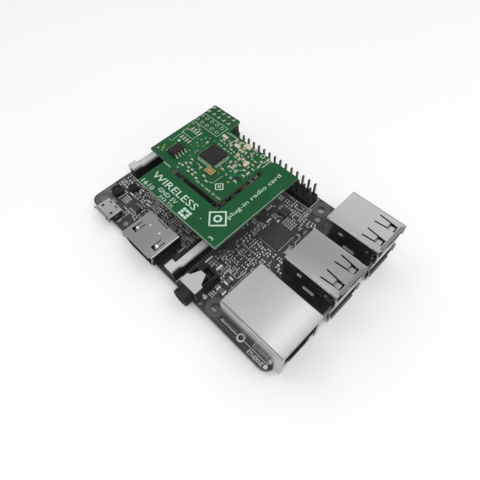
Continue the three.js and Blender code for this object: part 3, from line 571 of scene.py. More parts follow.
# printed bars, pads and packages with places of their own, then the small parts round them
for x, y, size, turn in [
    (8.9, 11.5, (1.5, 0.5), 0), (16.0, 13.7, (1.9, 0.55), 4), (17.2, 12.6, (1.9, 0.55), 4),
    (48.34, 12.9, (0.62, 3.1), 0), (52.84, 13.2, (0.9, 2.4), 0), (51.8, 37.0, (0.55, 2.2), 0),
    (54.2, 38.9, (0.6, 1.1), 0), (39.5, 9.0, (0.3, 2.7), 0), (57.3, 4.9, (1.0, 0.26), 0),
    (57.4, 5.6, (1.0, 0.26), 0), (57.5, 6.4, (1.0, 0.26), 0),
]:
    ink.box(x, y, size, PRINT, turn)
    claim("top", x, y, (size[0] / 2 + 0.15, size[1] / 2 + 0.15))
for i in range(5):
    for j in range(4):
        tin.box(8.4 + i * 0.62, 7.6 + j * 0.78, (0.36, 0.44 if j % 2 else 0.3), PAD)
package(chips, legs, 62.6, 41.4, (1.9, 1.2), 0.8, 3, 0.6, turn=90)
package(chips, legs, 44.6, 47.2, (2.9, 1.6), 0.9, 3, 0.95)
package(chips, legs, 39.6, 45.8, (2.9, 1.6), 0.9, 3, 0.95)
low, high = BOXES["camera_connector"]
for x, y, half in [
    (18.4, 2.4, (4.6, 2.5)), (64.6, 49.0, (4.0, 2.8)), (65.2, 36.6, (1.6, 2.6)), (9.6, 8.8, (1.7, 1.7)),
    (low.x - 1.3, 4.0, (1.6, 4.6)), (high.x + 0.8, (low.y + high.y) / 2, (0.8, 11.0)),
    (62.6, 41.4, (1.2, 1.4)), (44.6, 47.2, (1.6, 1.4)), (39.6, 45.8, (1.6, 1.4)),
]:
    claim("top", x, y, half)
for node in ("power_management_chip", "surge_diode"):
    low, high = BOXES[node]
    for side in (1, -1):
        y = high.y if side > 0 else low.y
        count = 5 if high.x - low.x > 3 else 3
        for i in range(count):
            x = low.x + (i + 0.5) * (high.x - low.x) / count
            legs.profile(x, y, [(-0.05, 0.45), (0.18, 0.45), (0.3, 0.1), (0.62, 0.1), (0.62, 0), (0.2, 0),
                                (0.05, 0.3), (-0.05, 0.3)], 0.3, 90 * side)
        claim("top", (low.x + high.x) / 2, y, ((high.x - low.x) / 2, 0.7))
low, high = BOXES["usb_ethernet_controller"]
for i in range(16):
    step = 0.4 + i * 0.4733
    for x, y, size in ((low.x + step, low.y - 0.14, (0.3, 0.4)), (low.x + step, high.y + 0.14, (0.24, 0.4)),
                       (low.x - 0.14, low.y + step, (0.4, 0.24)), (high.x + 0.14, low.y + step, (0.4, 0.3))):
        tin.box(x, y, size, (-0.01, 0.14))
claim("top", (low.x + high.x) / 2, (low.y + high.y) / 2, (4.7, 4.7))
for node in ("output_capacitor_1", "output_capacitor_2"):
    low, high = BOXES[node]
    middle, size, cap = (low + high) / 2, high - low, (0.0, high.z + 0.02)
    for side in (-1, 1):
        if size.x > size.y:
            tin.box(middle.x + side * (size.x / 2 - 0.2), middle.y, (0.46, size.y + 0.04), cap)
        else:
            tin.box(middle.x, middle.y + side * (size.y / 2 - 0.2), (size.x + 0.04, 0.46), cap)

for x, y, turn, length, *kind in [
    (4.9, 12.0, 0, 1.6), (10.6, 11.8, 0, 1.25), (12.6, 12.1, 90, 1.25), (11.4, 14.4, 90, 1.6),
    (9.6, 16.2, 0, 1.25), (2.4, 13.6, 0, 1.25, "film"), (4.6, 14.6, 0, 1.6),
    (22.8, 12.4, 90, 1.0, "film"), (22.7, 14.2, 90, 1.0), (26.5, 12.3, 90, 1.0),
    (26.5, 14.5, 90, 1.25, "film"), (12.6, 6.2, 0, 1.0), (14.6, 5.6, 0, 1.0, "film"),
    (19.0, 6.0, 90, 1.25), (20.6, 5.2, 90, 1.25, "film"), (51.0, 25.2, 0, 1.25), (51.0, 26.6, 0, 1.0),
    (50.9, 28.0, 0, 1.25, "film"), (51.1, 29.7, 0, 1.0), (51.2, 31.5, 90, 1.6), (50.6, 33.6, 90, 1.25),
    (62.1, 45.0, 90, 1.25), (60.6, 45.0, 90, 1.25), (64.2, 44.4, 0, 1.6), (64.4, 42.6, 0, 1.6, "film"),
    (66.0, 40.6, 0, 1.25), (66.9, 38.4, 90, 1.25), (61.0, 26.9, 90, 1.25), (62.4, 28.0, 90, 1.25),
    (59.8, 26.4, 90, 1.0, "film"), (65.6, 26.9, 90, 1.6), (67.3, 24.7, 0, 1.25), (68.6, 27.2, 90, 1.0),
    (56.2, 6.4, 90, 1.25), (61.6, 8.4, 90, 1.6), (61.6, 12.4, 90, 1.25, "film"),
]:
    passive("top", x, y, turn, length, *kind)
for y in (39.6, 41.4, 45.4):
    row(55.0, y, 6, 0.9)
for i in range(5):
    for j in range(9):
        if draw.random() < 0.72:
            x, y = 52.0 + j * 0.9, 18.6 + i * 1.45
            tin.box(x, y, (0.34, draw.choice((0.5, 0.8))), (-0.01, 0.1))
            claim("top", x, y, (0.2, 0.4))
for x in (51.2, 52.4):
    row(x, 17.4, 7, 0.88, 90, 0)
for zone, tries in [
    ((1, 11, 14, 17), 40), ((14, 5.0, 24, 17.5), 90), ((24, 10.6, 40.2, 17.8), 170),
    ((49.6, 7, 57.5, 18), 90), ((51.4, 14.5, 60, 28.6), 140), ((60, 16.5, 65, 28.6), 22),
    ((50.6, 29, 53, 38), 24), ((50.6, 38, 64, 49.4), 150), ((63, 20.5, 69, 40), 22),
    ((9, 18, 17.6, 48), 130), ((17.6, 18, 42, 24.6), 90), ((33, 25, 42.6, 48), 120),
    ((17, 40.5, 34, 49), 110), ((59.6, 50, 69, 54.6), 14), ((1, 38, 8, 50), 20), ((45, 30, 49.4, 47), 10),
]:
    fill("top", zone, tries)
for _ in range(300):
    x, y = draw.uniform(1, 62), draw.uniform(1, 49.4)
    if is_free("top", x, y, (0.2, 0.2), 0.0):
        (tin if draw.random() < 0.45 else tracks).disc(x, y, draw.choice((0.16, 0.2, 0.24)), PAD, 8)

for x, y, radius in ((63.3, 48.3, 0.85), (18.1, 2.4, 0.85)):
    dull.disc(x, y, radius, PAD, 24)
for x, y, radius in ((83.3, 1.35, 0.6), (1.9, 12.6, 0.4), (56.4, 14.6, 0.45)):
    tin.disc(x, y, radius, PAD, 24)
tin.ring(73.08, 2.3, 0.8, 1.25, (-0.01, 0.06), 40)
# A lighter patch at the board's corner by the power socket: painted reflection on the coat.
corner_reflection.prism([(0.3, 3.2), (1.1, 1.2), (3.2, 0.3), (6.0, 0.3), (6.0, 6.0), (3.0, 6.0), (3.0, 10.5),
            (0.3, 10.5)], FLAT)
for line, width in [
    ([(65.3, 2.1), (71.6, 2.1)], 0.24), ([(74.6, 2.2), (83.4, 2.2)], 0.12),
    ([(7.1, 7.0), (7.3, 10.8), (5.8, 10.8)], 0.24), ([(2.7, 10.0), (2.7, 6.2), (4.2, 6.2)], 0.16),
    ([(55.6, 14.3), (59.1, 14.3), (59.7, 14.9), (59.7, 18.2)], 0.14), ([(60.6, 9.6), (60.6, 18.4)], 0.14),
    ([(62.5, 39.8), (63.7, 38.6), (63.7, 36.4), (64.8, 35.3)], 0.16), ([(62.9, 34.2), (64.3, 34.6)], 0.16),
    ([(46.95, 0.4), (46.95, 3.0), (47.8, 3.6)], 0.2), ([(23.8, 0.6), (23.8, 10.6), (39.6, 10.6)], 0.13),
    ([(5.6, 0.5), (5.6, 4.9), (15.2, 4.9), (15.2, 0.5)], 0.13), ([(49.6, 7.6), (49.6, 11.2)], 0.13),
]:
    ink.ribbon(line, width, PRINT)
ink.ribbon(around("gpio_header", 0.9, 0.5), 0.16, PRINT, True)
ink.ribbon(around("processor"), 0.15, PRINT, True)
ink.text("ETHERNET", 76.9, 0.5, 1.75, PRINT, 0, 6.3, 0.01)
for words, x, y, size, turn in [
    ("E", 15.2, 1.2, 1.5, 0), ("AUDIO", 58.6, 4.6, 0.9, 90), ("J7", 57.2, 0.7, 0.9, 0),
    ("USB", 68.6, 33.6, 1.2, 90), ("USB", 68.9, 50.2, 1.1, 0), ("GPIO", 59.6, 48.8, 1.1, 90),
    ("POWER", 4.9, 5.2, 0.8, 0),
    ("CAMERA", 49.6, 2.2, 0.9, 90), ("DISPLAY", 8.6, 19.6, 1.0, 90), ("J8", 66.2, 53.6, 0.9, 0),
]:
    ink.text(words, x, y, size, PRINT, turn)
for _ in range(46):
    x, y, turn = draw.uniform(9, 66), draw.uniform(11, 48), draw.choice((0, 90))
    half = (0.75, 0.35) if turn == 0 else (0.35, 0.75)
    if is_free("top", x, y, half, 0.0):
        claim("top", x, y, half)
        start = (x - 0.7, y - 0.25) if turn == 0 else (x + 0.25, y - 0.7)
        ink.text(draw.choice("RCLU") + str(draw.randint(1, 99)), *start, 0.7, PRINT, turn)

# ---------- pin header ----------

insulator, pins = Batch(), Batch()
TIP, TAIL, SLIM = PIN_TOP - 0.45, FOOT + 0.5, 0.45
for x, y in pin_places(PIN_COLUMNS):
    cell = [(x + u * PITCH / 2, y + v * PITCH / 2) for u, v in
            ((-0.62, -1), (0.62, -1), (1, -0.62), (1, 0.62), (0.62, 1), (-0.62, 1), (-1, 0.62), (-1, -0.62))]
    shoulder = [(x + (u - x) * 0.97, y + (v - y) * 0.97) for u, v in cell]
    insulator.prism(cell, (0.25, 2.3))
    insulator.prism(cell, (2.3, 2.54), shoulder)
    insulator.box(x, y, (1.5, 1.2), (0.0, 0.25))
    for ends, taper in (((TAIL, TIP), 1.0), ((TIP, PIN_TOP), SLIM), ((TAIL, FOOT), SLIM)):
        pins.box(x, y, (PIN_SIDE, PIN_SIDE), ends, 0, taper)
insulator.box(FIRST_PIN[0] + 9.5 * PITCH, FIRST_PIN[1] + PITCH / 2, (19 * PITCH, 3.4), (0.3, 2.2))

# ---------- contacts, trim and painted highlights on the sockets ---

contacts, trim_and_highlights, tails = Batch(), Batch(), Batch()
spring = [(0, 0), (0, -0.12), (4.6, -0.38), (6.6, -0.1), (7.4, -0.1), (7.4, 0), (6.6, 0), (4.6, -0.26)]
for middle in USB_MIDDLES:
    for under in (3.75, 13.25):
        for across in USB_CONTACTS:
            contacts.profile(77.0, middle + across, [(u, under + v) for u, v in spring], 1.0)
for count, z in ((10, (3.9, 3.95)), (9, (2.65, 2.7))):
    pads(contacts, VIDEO_MIDDLE - (count - 1) * 0.5, 2.6, count, 1.0, (0.45, 5.2), z)
pads(contacts, POWER_MIDDLE - 1.3, 0.8, 5, 0.65, (0.35, 2.2), (1.95, 2.0))
dimple = [(0.0, 0.07), (0.14, 0.06), (0.26, 0.03), (0.34, 0.0), (0.0, 0.0)]
for x in (29.0, 33.6):
    trim_and_highlights.lathe(dimple, lambda u, v, w, x=x: (x + u, 6.25 + v, 6.5 + w), 20)
tail = [(-0.2, 0.6), (0.12, 0.6), (0.28, 0.14), (0.8, 0.14), (0.8, 0.0), (0.18, 0.0), (0.0, 0.46),
        (-0.2, 0.46)]
for node in ("camera_connector", "display_connector"):
    low, high = BOXES[node]
    for i in range(15):
        y = (low.y + high.y) / 2 + (i - 7)
        tails.profile(high.x, y, tail, 0.3)
        contacts.box(low.x + 1.7, y, (0.25, 0.4), (1.0, 3.4))
tin.disc(56.9, 3.5, 0.75, (-0.01, 0.5), 20, 0.5)
# Thin bright strips on both side walls of each USB shell: painted highlights where a rib and a hole catch
# the light.
for middle in USB_MIDDLES:
    for side in (-1, 1):
        trim_and_highlights.box(79.15, middle + side * 6.74, (3.6, 0.25), (8.72, 8.86))
        trim_and_highlights.box(75.5, middle + side * 6.72, (1.3, 0.22), (13.0, 13.14))


def fold_lines(ends, middle, half, height, fold, sides):
    """Painted highlights: bright strips along a shell's upper edges, given its X range, middle, half width,
    height and fold radius.
    """
    inner, outer = fold - 0.06, fold + 0.02
    arc = [(half - fold + r * math.cos(t), height - fold + r * math.sin(t))
           for r, t in ((inner, 0.65), (outer, 0.65), (outer, 0.95), (inner, 0.95))]
    for side in sides:
        trim_and_highlights.profile(sum(ends) / 2, middle, arc, ends[1] - ends[0], 90 * side)


# Painted highlights along the upper edges of both USB shells and the near edge of the jack.
for middle in USB_MIDDLES:
    fold_lines((70.8, 85.0), middle, 6.55, 16.2, 0.55, (-1, 1))
fold_lines((74.0, 86.8), JACK_MIDDLE, 7.95, 13.5, 0.6, (-1,))

barrel = Batch()
radius, bore = 2.95, 1.8
(low, high), axis = BOXES["audio_barrel"], middle_of("audio_barrel")
profile = [(bore, high.y), (bore, low.y + 0.3), (bore + 0.2, low.y), (bore + 0.5, low.y),
           (bore + 0.6, low.y + 0.3), (radius - 0.45, low.y + 0.3), (radius - 0.35, low.y),
           (radius - 0.12, low.y), (radius, low.y + 0.14), (radius, high.y)]
barrel.lathe(profile, lambda u, v, w: (axis.x + u, w, axis.z + v), 72)

# ---------- underside of the main board ----------

cones = {"under": Batch(), "card": Batch()}


def joint(x, y, size, face="under", height=0.75, spread=0.55):
    """A cone of solder round a leg."""
    base, up = LEVEL[face]
    rings = []
    for out, cut in ((spread, spread * 0.76), (0.08, 0.06)):
        ring = [Vector((u + math.copysign(out, u - x), v + math.copysign(out, v - y)))
                for u, v in rectangle(x, y, size)]
        rings.append([tuple(here + (there - here).normalized() * cut) for i, here in enumerate(ring)
                      for there in (ring[i - 1], ring[(i + 1) % 4])])
    cones[face].prism(rings[0], (base, base + up * height), rings[1])
    claim(face, x, y, (size[0] / 2 + 0.6, size[1] / 2 + 0.6))


for x, y in pin_places(PIN_COLUMNS):
    joint(x, y, (PIN_SIDE, PIN_SIDE))
for middle in USB_MIDDLES:
    for side in (-1, 1):
        for x in (73.6, 81.4):
            joint(x, middle + side * 6.4, (2.0, 0.3))
    for x in (71.7, 74.3):
        for across in USB_CONTACTS:
            joint(x, middle + across, (0.6, 0.6), height=0.6)
for side in (-1, 1):
    joint(78.5, JACK_MIDDLE + side * 7.825, (2.0, 0.25))
    joint(POWER_MIDDLE + side * 3.875, 1.9, (0.25, 1.5))
    for y in (1.7, 7.6):
        joint(VIDEO_MIDDLE + side * 7.25, y, (0.3, 1.4))
for i in range(8):
    joint(69.6 if i % 2 else 72.14, JACK_MIDDLE + (i - 3.5) * PITCH / 2, (0.5, 0.5), height=0.6)

low_tracks, low_tin, low_ink = Batch(), Batch(), Batch()
UNDER_FLAT, UNDER_PAD, UNDER_PRINT = [(UNDER - thick, UNDER + 0.01) for thick in (0.015, 0.03, 0.035)]
for line, count, pitch, width in [
    ([(34, 30), (44, 30), (48, 34), (48, 44)], 8, 0.5, 0.2),
    ([(18, 24), (18, 14), (24, 8), (36, 8)], 8, 0.5, 0.2),
    ([(34, 25), (52, 25), (60, 17), (68, 17)], 6, 0.5, 0.2), ([(20, 36), (20, 46)], 6, 0.6, 0.2),
    ([(28, 36), (28, 40), (34, 46), (44, 46)], 5, 0.55, 0.2), ([(56, 30), (62, 36), (68, 36)], 5, 0.5, 0.2),
    ([(40, 4), (62, 4), (64, 6), (64, 12)], 2, 0.8, 0.45), ([(3, 38), (3, 47), (6, 50)], 3, 0.6, 0.25),
]:
    bus(low_tracks, line, count, pitch, width, UNDER_FLAT)
for zone, tries in [((17, 36.4, 34, 48.6), 110), ((17, 9, 34, 22), 110), ((35, 10, 60, 40), 150),
                    ((44, 40, 66, 49), 50), ((3, 5, 15, 19), 40), ((60, 20, 69, 46), 40)]:
    fill("under", zone, tries)
for _ in range(260):
    x, y = draw.uniform(2, 69), draw.uniform(3, 49)
    clear = all(math.dist((x, y), hole) > 3.6 for hole in HOLES[::2])
    if clear and is_free("under", x, y, (0.3, 0.3), 0.0):
        batch = low_tin if draw.random() < 0.5 else low_tracks
        batch.disc(x, y, draw.choice((0.2, 0.24, 0.5)), UNDER_PAD, 12)
for node in ("memory_chip", "memory_card_shell"):
    low_ink.ribbon(around(node), 0.15, UNDER_PRINT, True)

# ---------- plug-in card ----------

card_tracks, card_tin, card_dull, card_ink_and_edge_highlight, card_gold, card_copper = [Batch() for _ in range(6)]
CARD_FLAT, CARD_PAD, CARD_PRINT = [(CARD_TOP - 0.01, CARD_TOP + thick) for thick in (0.015, 0.03, 0.035)]
# the card has a second pair of rows of holes, with no pins in them, that far from the first
EMPTY_ROWS = 5.92
for x, y in pin_places(CARD_COLUMNS):
    joint(x, y, (0.6, 0.6), "card", 0.5, 0.38)
    card_dull.ring(x, y - EMPTY_ROWS, 0.46, 0.7, CARD_PAD, 20)
    # a dark disc sunk in each empty hole: painted shade inside the hole
    SMALL["card"]["film"].disc(x, y - EMPTY_ROWS, 0.46, (CARD_TOP - 0.9, CARD_TOP - 0.6), 16)
    claim("card", x, y - EMPTY_ROWS, (1.0, 1.0))
low, high = BOXES["card_board"]
bottom, right_side = low.y + 0.05, high.x - 0.05
for line, width in [
    # painted highlight: a light strip on the top rim of the card's lower and right edges
    ([(low.x + 0.3, bottom), (right_side, bottom), (right_side, high.y - 13)], 0.1),
    ([(7.9, 49.2), (20.2, 49.2), (20.2, 43.8), (7.9, 43.8)], 0.14),
    ([(9.3, 37.2), (15.0, 37.2), (15.0, 39.7), (9.3, 39.7), (9.3, 37.2)], 0.14),
    ([(9.7, 37.9), (10.1, 31.8), (8.6, 31.6)], 0.12), ([(23.1, 32.3), (28.4, 32.3)], 0.16),
    ([(30.6, 33.6), (30.6, 39.7)], 0.16), ([(34.9, 32.7), (34.6, 28.3), (33.4, 28.0)], 0.1),
    ([(15.9, 23.5), (19.5, 23.5)], 0.22), ([(41.7, 44.1), (41.7, 48.4)], 0.22),
    ([(35.4, 36.9), (38.6, 39.4)], 0.1),
]:
    card_ink_and_edge_highlight.ribbon(line, width, CARD_PRINT)
pads(card_tin, 11.0, 40.75, 4, 1.33, (0.6, 1.7), CARD_PAD)
pads(card_tin, 11.15, 35.5, 4, 1.33, (0.6, 1.7), CARD_PAD)
card_ink_and_edge_highlight.prism([(19.9, 26.6), (20.7, 26.2), (20.6, 27.1)], CARD_PRINT)
middle = middle_of("card_memory_chip")
run = [(1.7, 1.06), (2.19, 1.06), (2.36, 0.31), (3.0, 0.31), (3.0, 0.0), (2.7, 0.0), (1.7, 0.9)]
lead = [(u, CARD_TOP + v) for u, v in run]
for side in (-1, 1):
    for i in range(4):
        card_tin.profile(middle.x, middle.y + (i - 1.5) * PITCH / 2, lead, 0.55, 90 - 90 * side)
# clear of small parts: two holes, both arms of the slot, the pads at the left and two chips with their leads
middle = middle_of("card_radio_chip")
for x, y, half in ((39.2, 35.2, (1.5, 1.05)), (38.4, 47.9, (1, 1)), (32.15, 23.4, (11.55, 1)),
                   (42.7, 32.45, (1, 10.05)), (13, 38.2, (3.2, 3.6)), (15.4, 29.3, (4.4, 2.9)),
                   (middle.x, middle.y, (4.4, 4.4))):
    claim("card", x, y, half)
low, high = BOXES["card_radio_chip"]
for i in range(10):
    step = 0.5 + i * (high.x - low.x - 1) / 9
    for x, y, size in ((low.x + step, low.y - 0.3, (0.34, 0.9)), (low.x + step, high.y + 0.2, (0.34, 0.7)),
                       (low.x - 0.3, low.y + step, (0.9, 0.34)), (high.x + 0.3, low.y + step, (0.9, 0.34))):
        card_tin.box(x, y, size, (CARD_TOP - 0.01, CARD_TOP + 0.1))
for batch, discs in [
    (card_ink_and_edge_highlight, [(12.0, 33.5, 0.5)]),
    (card_gold, [(9.3, 26.4, 0.4), (10.6, 27.6, 0.4), (10.0, 28.6, 0.3), (11.2, 26.6, 0.3),
                 (38.0, 32.1, 0.42), (8.7, 40.9, 0.35), (18.8, 36.4, 0.28), (20.2, 37.6, 0.24),
                 (18.4, 32.9, 0.3), (20.4, 31.4, 0.24), (31.2, 35.2, 0.24), (31.6, 37.6, 0.24),
                 (33.0, 32.6, 0.24), (21.2, 41.8, 0.24)]),
    (card_tin, [(17.5, 37.2, 0.24), (17.4, 39.1, 0.24), (18.0, 40.7, 0.24), (19.0, 41.6, 0.24)]),
]:
    for x, y, radius in discs:
        batch.disc(x, y, radius, CARD_PAD, 14)
        claim("card", x, y, (radius, radius))
card_copper.disc(10.1, 39.0, 0.55, CARD_PAD, 16)
middle, lid = middle_of("card_crystal"), BOXES["card_crystal"][1].z
card_copper.ribbon(rectangle(middle.x, middle.y, (2.1, 1.4)), 0.24, (lid - 0.01, lid + 0.015), True)
card_ink_and_edge_highlight.ring(37.3, 34.0, 0.28, 0.42, CARD_PRINT, 18)
card_dull.ring(38.4, 47.9, 0.5, 0.85, CARD_PAD, 24)
# a dark disc flush in the hole: painted shade inside the hole
SMALL["card"]["film"].disc(38.4, 47.9, 0.5, (CARD_TOP - 0.01, CARD_TOP + 0.02), 16)
for x, y in ((12.9, 42.3), (16.2, 38.6), (16.8, 35.0)):
    card_tin.ring(x, y, 0.1, 0.22, CARD_PAD, 12)

for size, places in [
    ((0.75, 0.5), [(23.5, 41.8), (24.7, 41.8), (28.3, 41.5), (29.6, 41.6), (21.9, 47.7), (23.0, 47.9),
                   (24.1, 47.9), (25.2, 47.9), (26.3, 47.9), (24.6, 43.4), (26.0, 43.2), (25.0, 45.2),
                   (26.1, 45.7), (29.9, 42.7), (33.1, 43.3), (35.2, 47.0), (36.5, 47.1), (35.0, 44.4),
                   (36.6, 44.5), (35.3, 33.9), (35.3, 35.9), (40.6, 46.3), (40.3, 44.6)]),
    ((1.3, 0.55), [(26.6, 41.5), (31.9, 41.4), (29.1, 47.9), (22.9, 43.5), (28.3, 42.9), (31.6, 43.2),
                   (38.2, 44.4), (38.6, 42.8), (35.5, 39.8), (38.2, 39.3), (40.0, 41.4), (32.5, 27.6)]),
    ((1.05, 0.75), [(25.1, 26.4), (27.2, 26.4), (29.3, 26.2), (23.9, 27.6), (25.6, 27.7), (27.3, 27.6),
                    (21.7, 26.9), (21.9, 28.3)]),
]:
    for x, y in places:
        card_tin.box(x, y, size, (CARD_TOP - 0.01, CARD_TOP + 0.12), 0, 0.85)
        claim("card", x, y, (size[0] / 2, size[1] / 2))
for x, y, turn, length, *kind in [
    (33.4, 45.0, 90, 1.0), (30.8, 44.6, 90, 1.0), (27.3, 44.0, 90, 1.0), (33.8, 41.4, 90, 1.25),
    (34.8, 42.2, 90, 1.25), (32.6, 38.6, 90, 1.0), (33.6, 36.8, 90, 1.0), (32.8, 34.6, 0, 1.0),
    (20.6, 34.0, 90, 1.0, "film"), (20.2, 39.4, 90, 1.0), (22.4, 30.6, 0, 1.0),
    (25.4, 30.6, 0, 1.0, "film"), (27.2, 30.0, 90, 1.0), (40.3, 38.9, 90, 1.25), (39.9, 43.2, 0, 1.0),
    (23.2, 29.2, 0, 1.0), (30.6, 28.4, 0, 1.0), (11.4, 43.0, 0, 1.0, "film"),
]:
    passive("card", x, y, turn, length, *kind)
fill("card", (21.4, 40.9, 41.2, 48.2), 60)
fill("card", (31.0, 33.4, 41.4, 44.0), 18)

for line, count, pitch, width in [
    ([(24.5, 40.4), (24.5, 41.2), (21.2, 44.5), (21.2, 50.0)], 3, 0.42, 0.16),
    ([(22.4, 35.2), (18.6, 35.2), (16.2, 37.6)], 4, 0.42, 0.15),
    ([(22.4, 33.6), (20.4, 31.6), (19.9, 31.6)], 3, 0.4, 0.15),
    ([(28.6, 32.2), (28.6, 25.4)], 2, 0.5, 0.18),
    ([(9.0, 43.2), (9.0, 34.0), (10.6, 32.4)], 3, 0.45, 0.16),
    ([(30.4, 38.2), (33.6, 41.4), (33.6, 47.6)], 3, 0.42, 0.16),
    ([(30.8, 34.6), (36.4, 34.6), (40.8, 39.0)], 2, 0.5, 0.2),
    ([(11.0, 34.6), (11.0, 32.8), (12.4, 31.4)], 3, 0.4, 0.15),
    ([(17.4, 41.6), (17.4, 39.6), (19.6, 37.4), (22.2, 37.4)], 4, 0.42, 0.15),
]:
    bus(card_tracks, line, count, pitch, width, CARD_FLAT)
for _ in range(90):
    x, y = draw.uniform(8.4, 41), draw.uniform(25, 48)
    if is_free("card", x, y, (0.2, 0.2), 0.0):
        card_tracks.disc(x, y, draw.choice((0.16, 0.2)), CARD_PAD, 8)

for words, x, y, size, turn, *span in [
    ("WIRELESS", 17.8, 16.95, 3.65, 0, 20.7), ("GND 5V", 23.9, 14.5, 2.1, 0, 8.6),
    ("3V3 TX", 26.3, 12.9, 1.5, 0, 6.6), ("plug-in radio card", 48.6, 22.3, 2.0, 90, 23.4),
    ("3", 50.4, 13.6, 2.3, 90), ("RX  TX  GND  5V  3V3", 30.2, 25.2, 0.95, 0, 11.0),
    ("U4", 12.6, 41.9, 0.9, 0), ("JP1", 8.2, 42.4, 1.0, 0), ("C7", 33.6, 48.0, 0.7, 0),
    ("R3", 20.9, 24.9, 0.8, 0), ("16", 17.2, 13.0, 2.4, 0, 2.4), ("10", 20.4, 13.0, 2.4, 0, 2.4),
]:
    card_ink_and_edge_highlight.text(words, x, y, size, CARD_PRINT, turn, *span)
for i in range(3):
    for j in range(3):
        if (i, j) != (1, 1):
            card_ink_and_edge_highlight.box(36.1 + i * 1.25, 13.5 + j * 1.05, (1.05, 0.85), CARD_PRINT)
# two diamonds, each a frame round a ring
for x, y, side, ring, width in ((46.0, 20.1, 5.4, 1.35, 0.5), (37.3, 28.9, 2.6, 0.5, 0.3)):
    card_ink_and_edge_highlight.ribbon(rectangle(x, y, (side - width, side - width), 45), width, CARD_PRINT, True)
    card_ink_and_edge_highlight.ring(x, y, ring * 0.55, ring, CARD_PRINT, 32)
card_ink_and_edge_highlight.box(42.2, 16.6, (0.3, 0.3), CARD_PRINT)

# ---------- pieces ----------

make("header_insulator", insulator, BLACK, COMPUTER, 0.06)
make("header_pins", pins, PIN_METAL, COMPUTER)
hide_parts("gpio_header")
make("audio_barrel_turned", barrel, BLACK, COMPUTER, smooth=True)
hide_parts("audio_barrel")
make("socket_contacts", contacts, GOLD, COMPUTER)
make("socket_trim_and_highlights", trim_and_highlights, SOLDER, COMPUTER, smooth=True)
make("connector_tails", tails, DULL, COMPUTER)
for name, batch, finish, slot, bevel in [
    ("board_tracks", tracks, MAIN_TRACE, "main_mask", 0.0),
    ("board_copper_pour", corner_reflection, MAIN_CORNER_REFLECTION, "main_mask", 0.0),
    ("board_pads", tin, SOLDER, "shell_metal", 0.0),
    ("board_dull_pads", dull, DULL, "shell_metal", 0.0),
    ("board_printing", ink, INK_GREY, "white_plastic", 0.0),
    ("board_small_packages", chips, EPOXY, "chip_epoxy", 0.04),
    ("board_package_leads", legs, SOLDER, "shell_metal", 0.0),
    ("underside_solder", cones["under"], SOLDER, "shell_metal", 0.1),
    ("underside_tracks", low_tracks, MAIN_TRACE, "main_mask", 0.0),
    ("underside_pads", low_tin, SOLDER, "shell_metal", 0.0),
    ("underside_printing", low_ink, INK_GREY, "white_plastic", 0.0),
    ("card_solder", cones["card"], CARD_SOLDER, "shell_metal", 0.1),
    ("card_tracks", card_tracks, CARD_TRACE, "card_mask", 0.0),
    ("card_pads", card_tin, CARD_SOLDER, "shell_metal", 0.0),
    ("card_dull_pads", card_dull, CARD_SOLDER, "shell_metal", 0.0),
    ("card_gold_pads", card_gold, GOLD, "gold_lid", 0.0),
    ("card_bare_pad", card_copper, COPPER, "gold_lid", 0.0),
    ("card_printing", card_ink_and_edge_highlight, INK, "white_plastic", 0.0),
]:
    make(name, batch, finish, CARD if name.startswith("card") else COMPUTER, bevel)
for face, prefix, ceramic, metal in (("top", "board", CERAMIC_GREY, SOLDER),
                                     ("under", "underside", CERAMIC_GREY, SOLDER),
                                     ("card", "card", CERAMIC_CREAM, CARD_SOLDER)):
    body, batches = OWNER[face], SMALL[face]
    make(prefix + "_capacitors", batches["ceramic"], ceramic, body)
    make(prefix + "_resistors", batches["film"], EPOXY, body)
    make(prefix + "_end_caps", batches["ends"], metal, body)
    make(prefix + "_fillets", batches["joints"], metal, body)

# ---------- camera ----------

camera = bpy.data.objects.new("camera", bpy.data.cameras.new("camera"))
bpy.context.scene.collection.objects.link(camera)
forward = Vector((-0.42929, 0.37410, -0.82204))
right = Vector((0.69884, 0.71416, -0.03995))
turn = Matrix((right, right.cross(forward), -forward)).transposed().to_4x4()
eye = Vector((0.055932, -0.047692, 0.111309))
camera.matrix_world = Matrix.Translation(eye) @ turn
camera.data.lens, camera.data.sensor_width = 29.45, 36
camera.data.shift_x, camera.data.shift_y = 0.01626, -0.03956
camera.data.clip_start, camera.data.clip_end = 0.005, 50
bpy.context.scene.camera = camera

# ---------- floor and light ----------

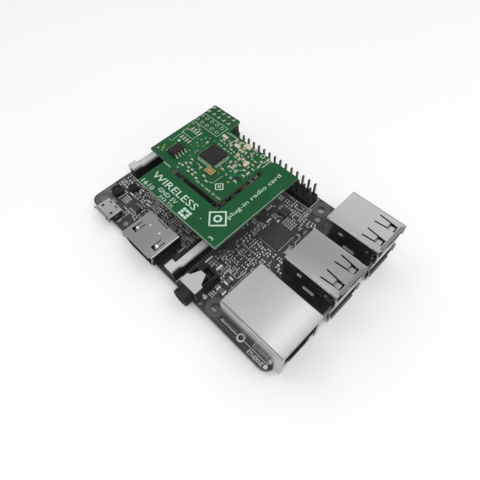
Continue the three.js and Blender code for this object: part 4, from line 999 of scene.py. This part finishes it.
REACH = 8
floor_mesh = bpy.data.meshes.new("floor")
floor_mesh.from_pydata([(-REACH, -REACH, 0), (REACH, -REACH, 0), (REACH, REACH, 0), (-REACH, REACH, 0)], [],
                       [(0, 1, 2, 3)])
floor = bpy.data.objects.new("floor", floor_mesh)
bpy.context.scene.collection.objects.link(floor)
paper = Finish("pale_floor")
floor_mesh.materials.append(paper.paint(paper.ramp(paper.noise(0.002), [(0.3, grey(247)), (0.7, grey(250))]),
                                        paper.between(paper.noise(0.01), 0.7, 0.8)))

world = bpy.data.worlds.new("studio")
world.use_nodes = True
world.node_tree.nodes["Background"].inputs["Color"].default_value = (1, 1, 1, 1)
world.node_tree.nodes["Background"].inputs["Strength"].default_value = 0.53
bpy.context.scene.world = world
bpy.context.scene.view_settings.view_transform = "Standard"


def softbox(name, place, size, radiance):
    """A rectangular panel that faces straight down."""
    lamp = bpy.data.lights.new(name, "AREA")
    lamp.shape, lamp.size, lamp.size_y = "RECTANGLE", *size
    lamp.energy = radiance * math.pi * size[0] * size[1]
    holder = bpy.data.objects.new(name, lamp)
    holder.location = place
    bpy.context.scene.collection.objects.link(holder)


HEIGHT = 0.9
softbox("key", (0.40, -0.34, 1.0), (0.7, 0.7), 3.05)
softbox("right_back", (0.45, 0.30, HEIGHT), (0.5, 0.45), 2.65)
softbox("left_front", (-0.5, -0.32, HEIGHT), (0.4, 0.3), 2.4)
softbox("over_sockets", (-0.285, 0.225, HEIGHT), (0.43, 0.35), 0.47)
softbox("over_jack", (-0.40, 0.18, HEIGHT - 0.03), (0.2, 0.2), 0.28)
softbox("strip", (-0.108, 0.27, HEIGHT - 0.01), (0.035, 0.26), 2.3)
softbox("strip_glow", (-0.155, 0.27, HEIGHT - 0.02), (0.13, 0.3), 0.22)
softbox("between", (-0.2, 0.51, HEIGHT), (0.5, 0.18), 0.1)
softbox("back", (-0.2, 0.85, HEIGHT), (0.55, 0.5), 0.74)
softbox("left", (-1.03, 0.2, HEIGHT), (0.54, 0.8), 0.5)
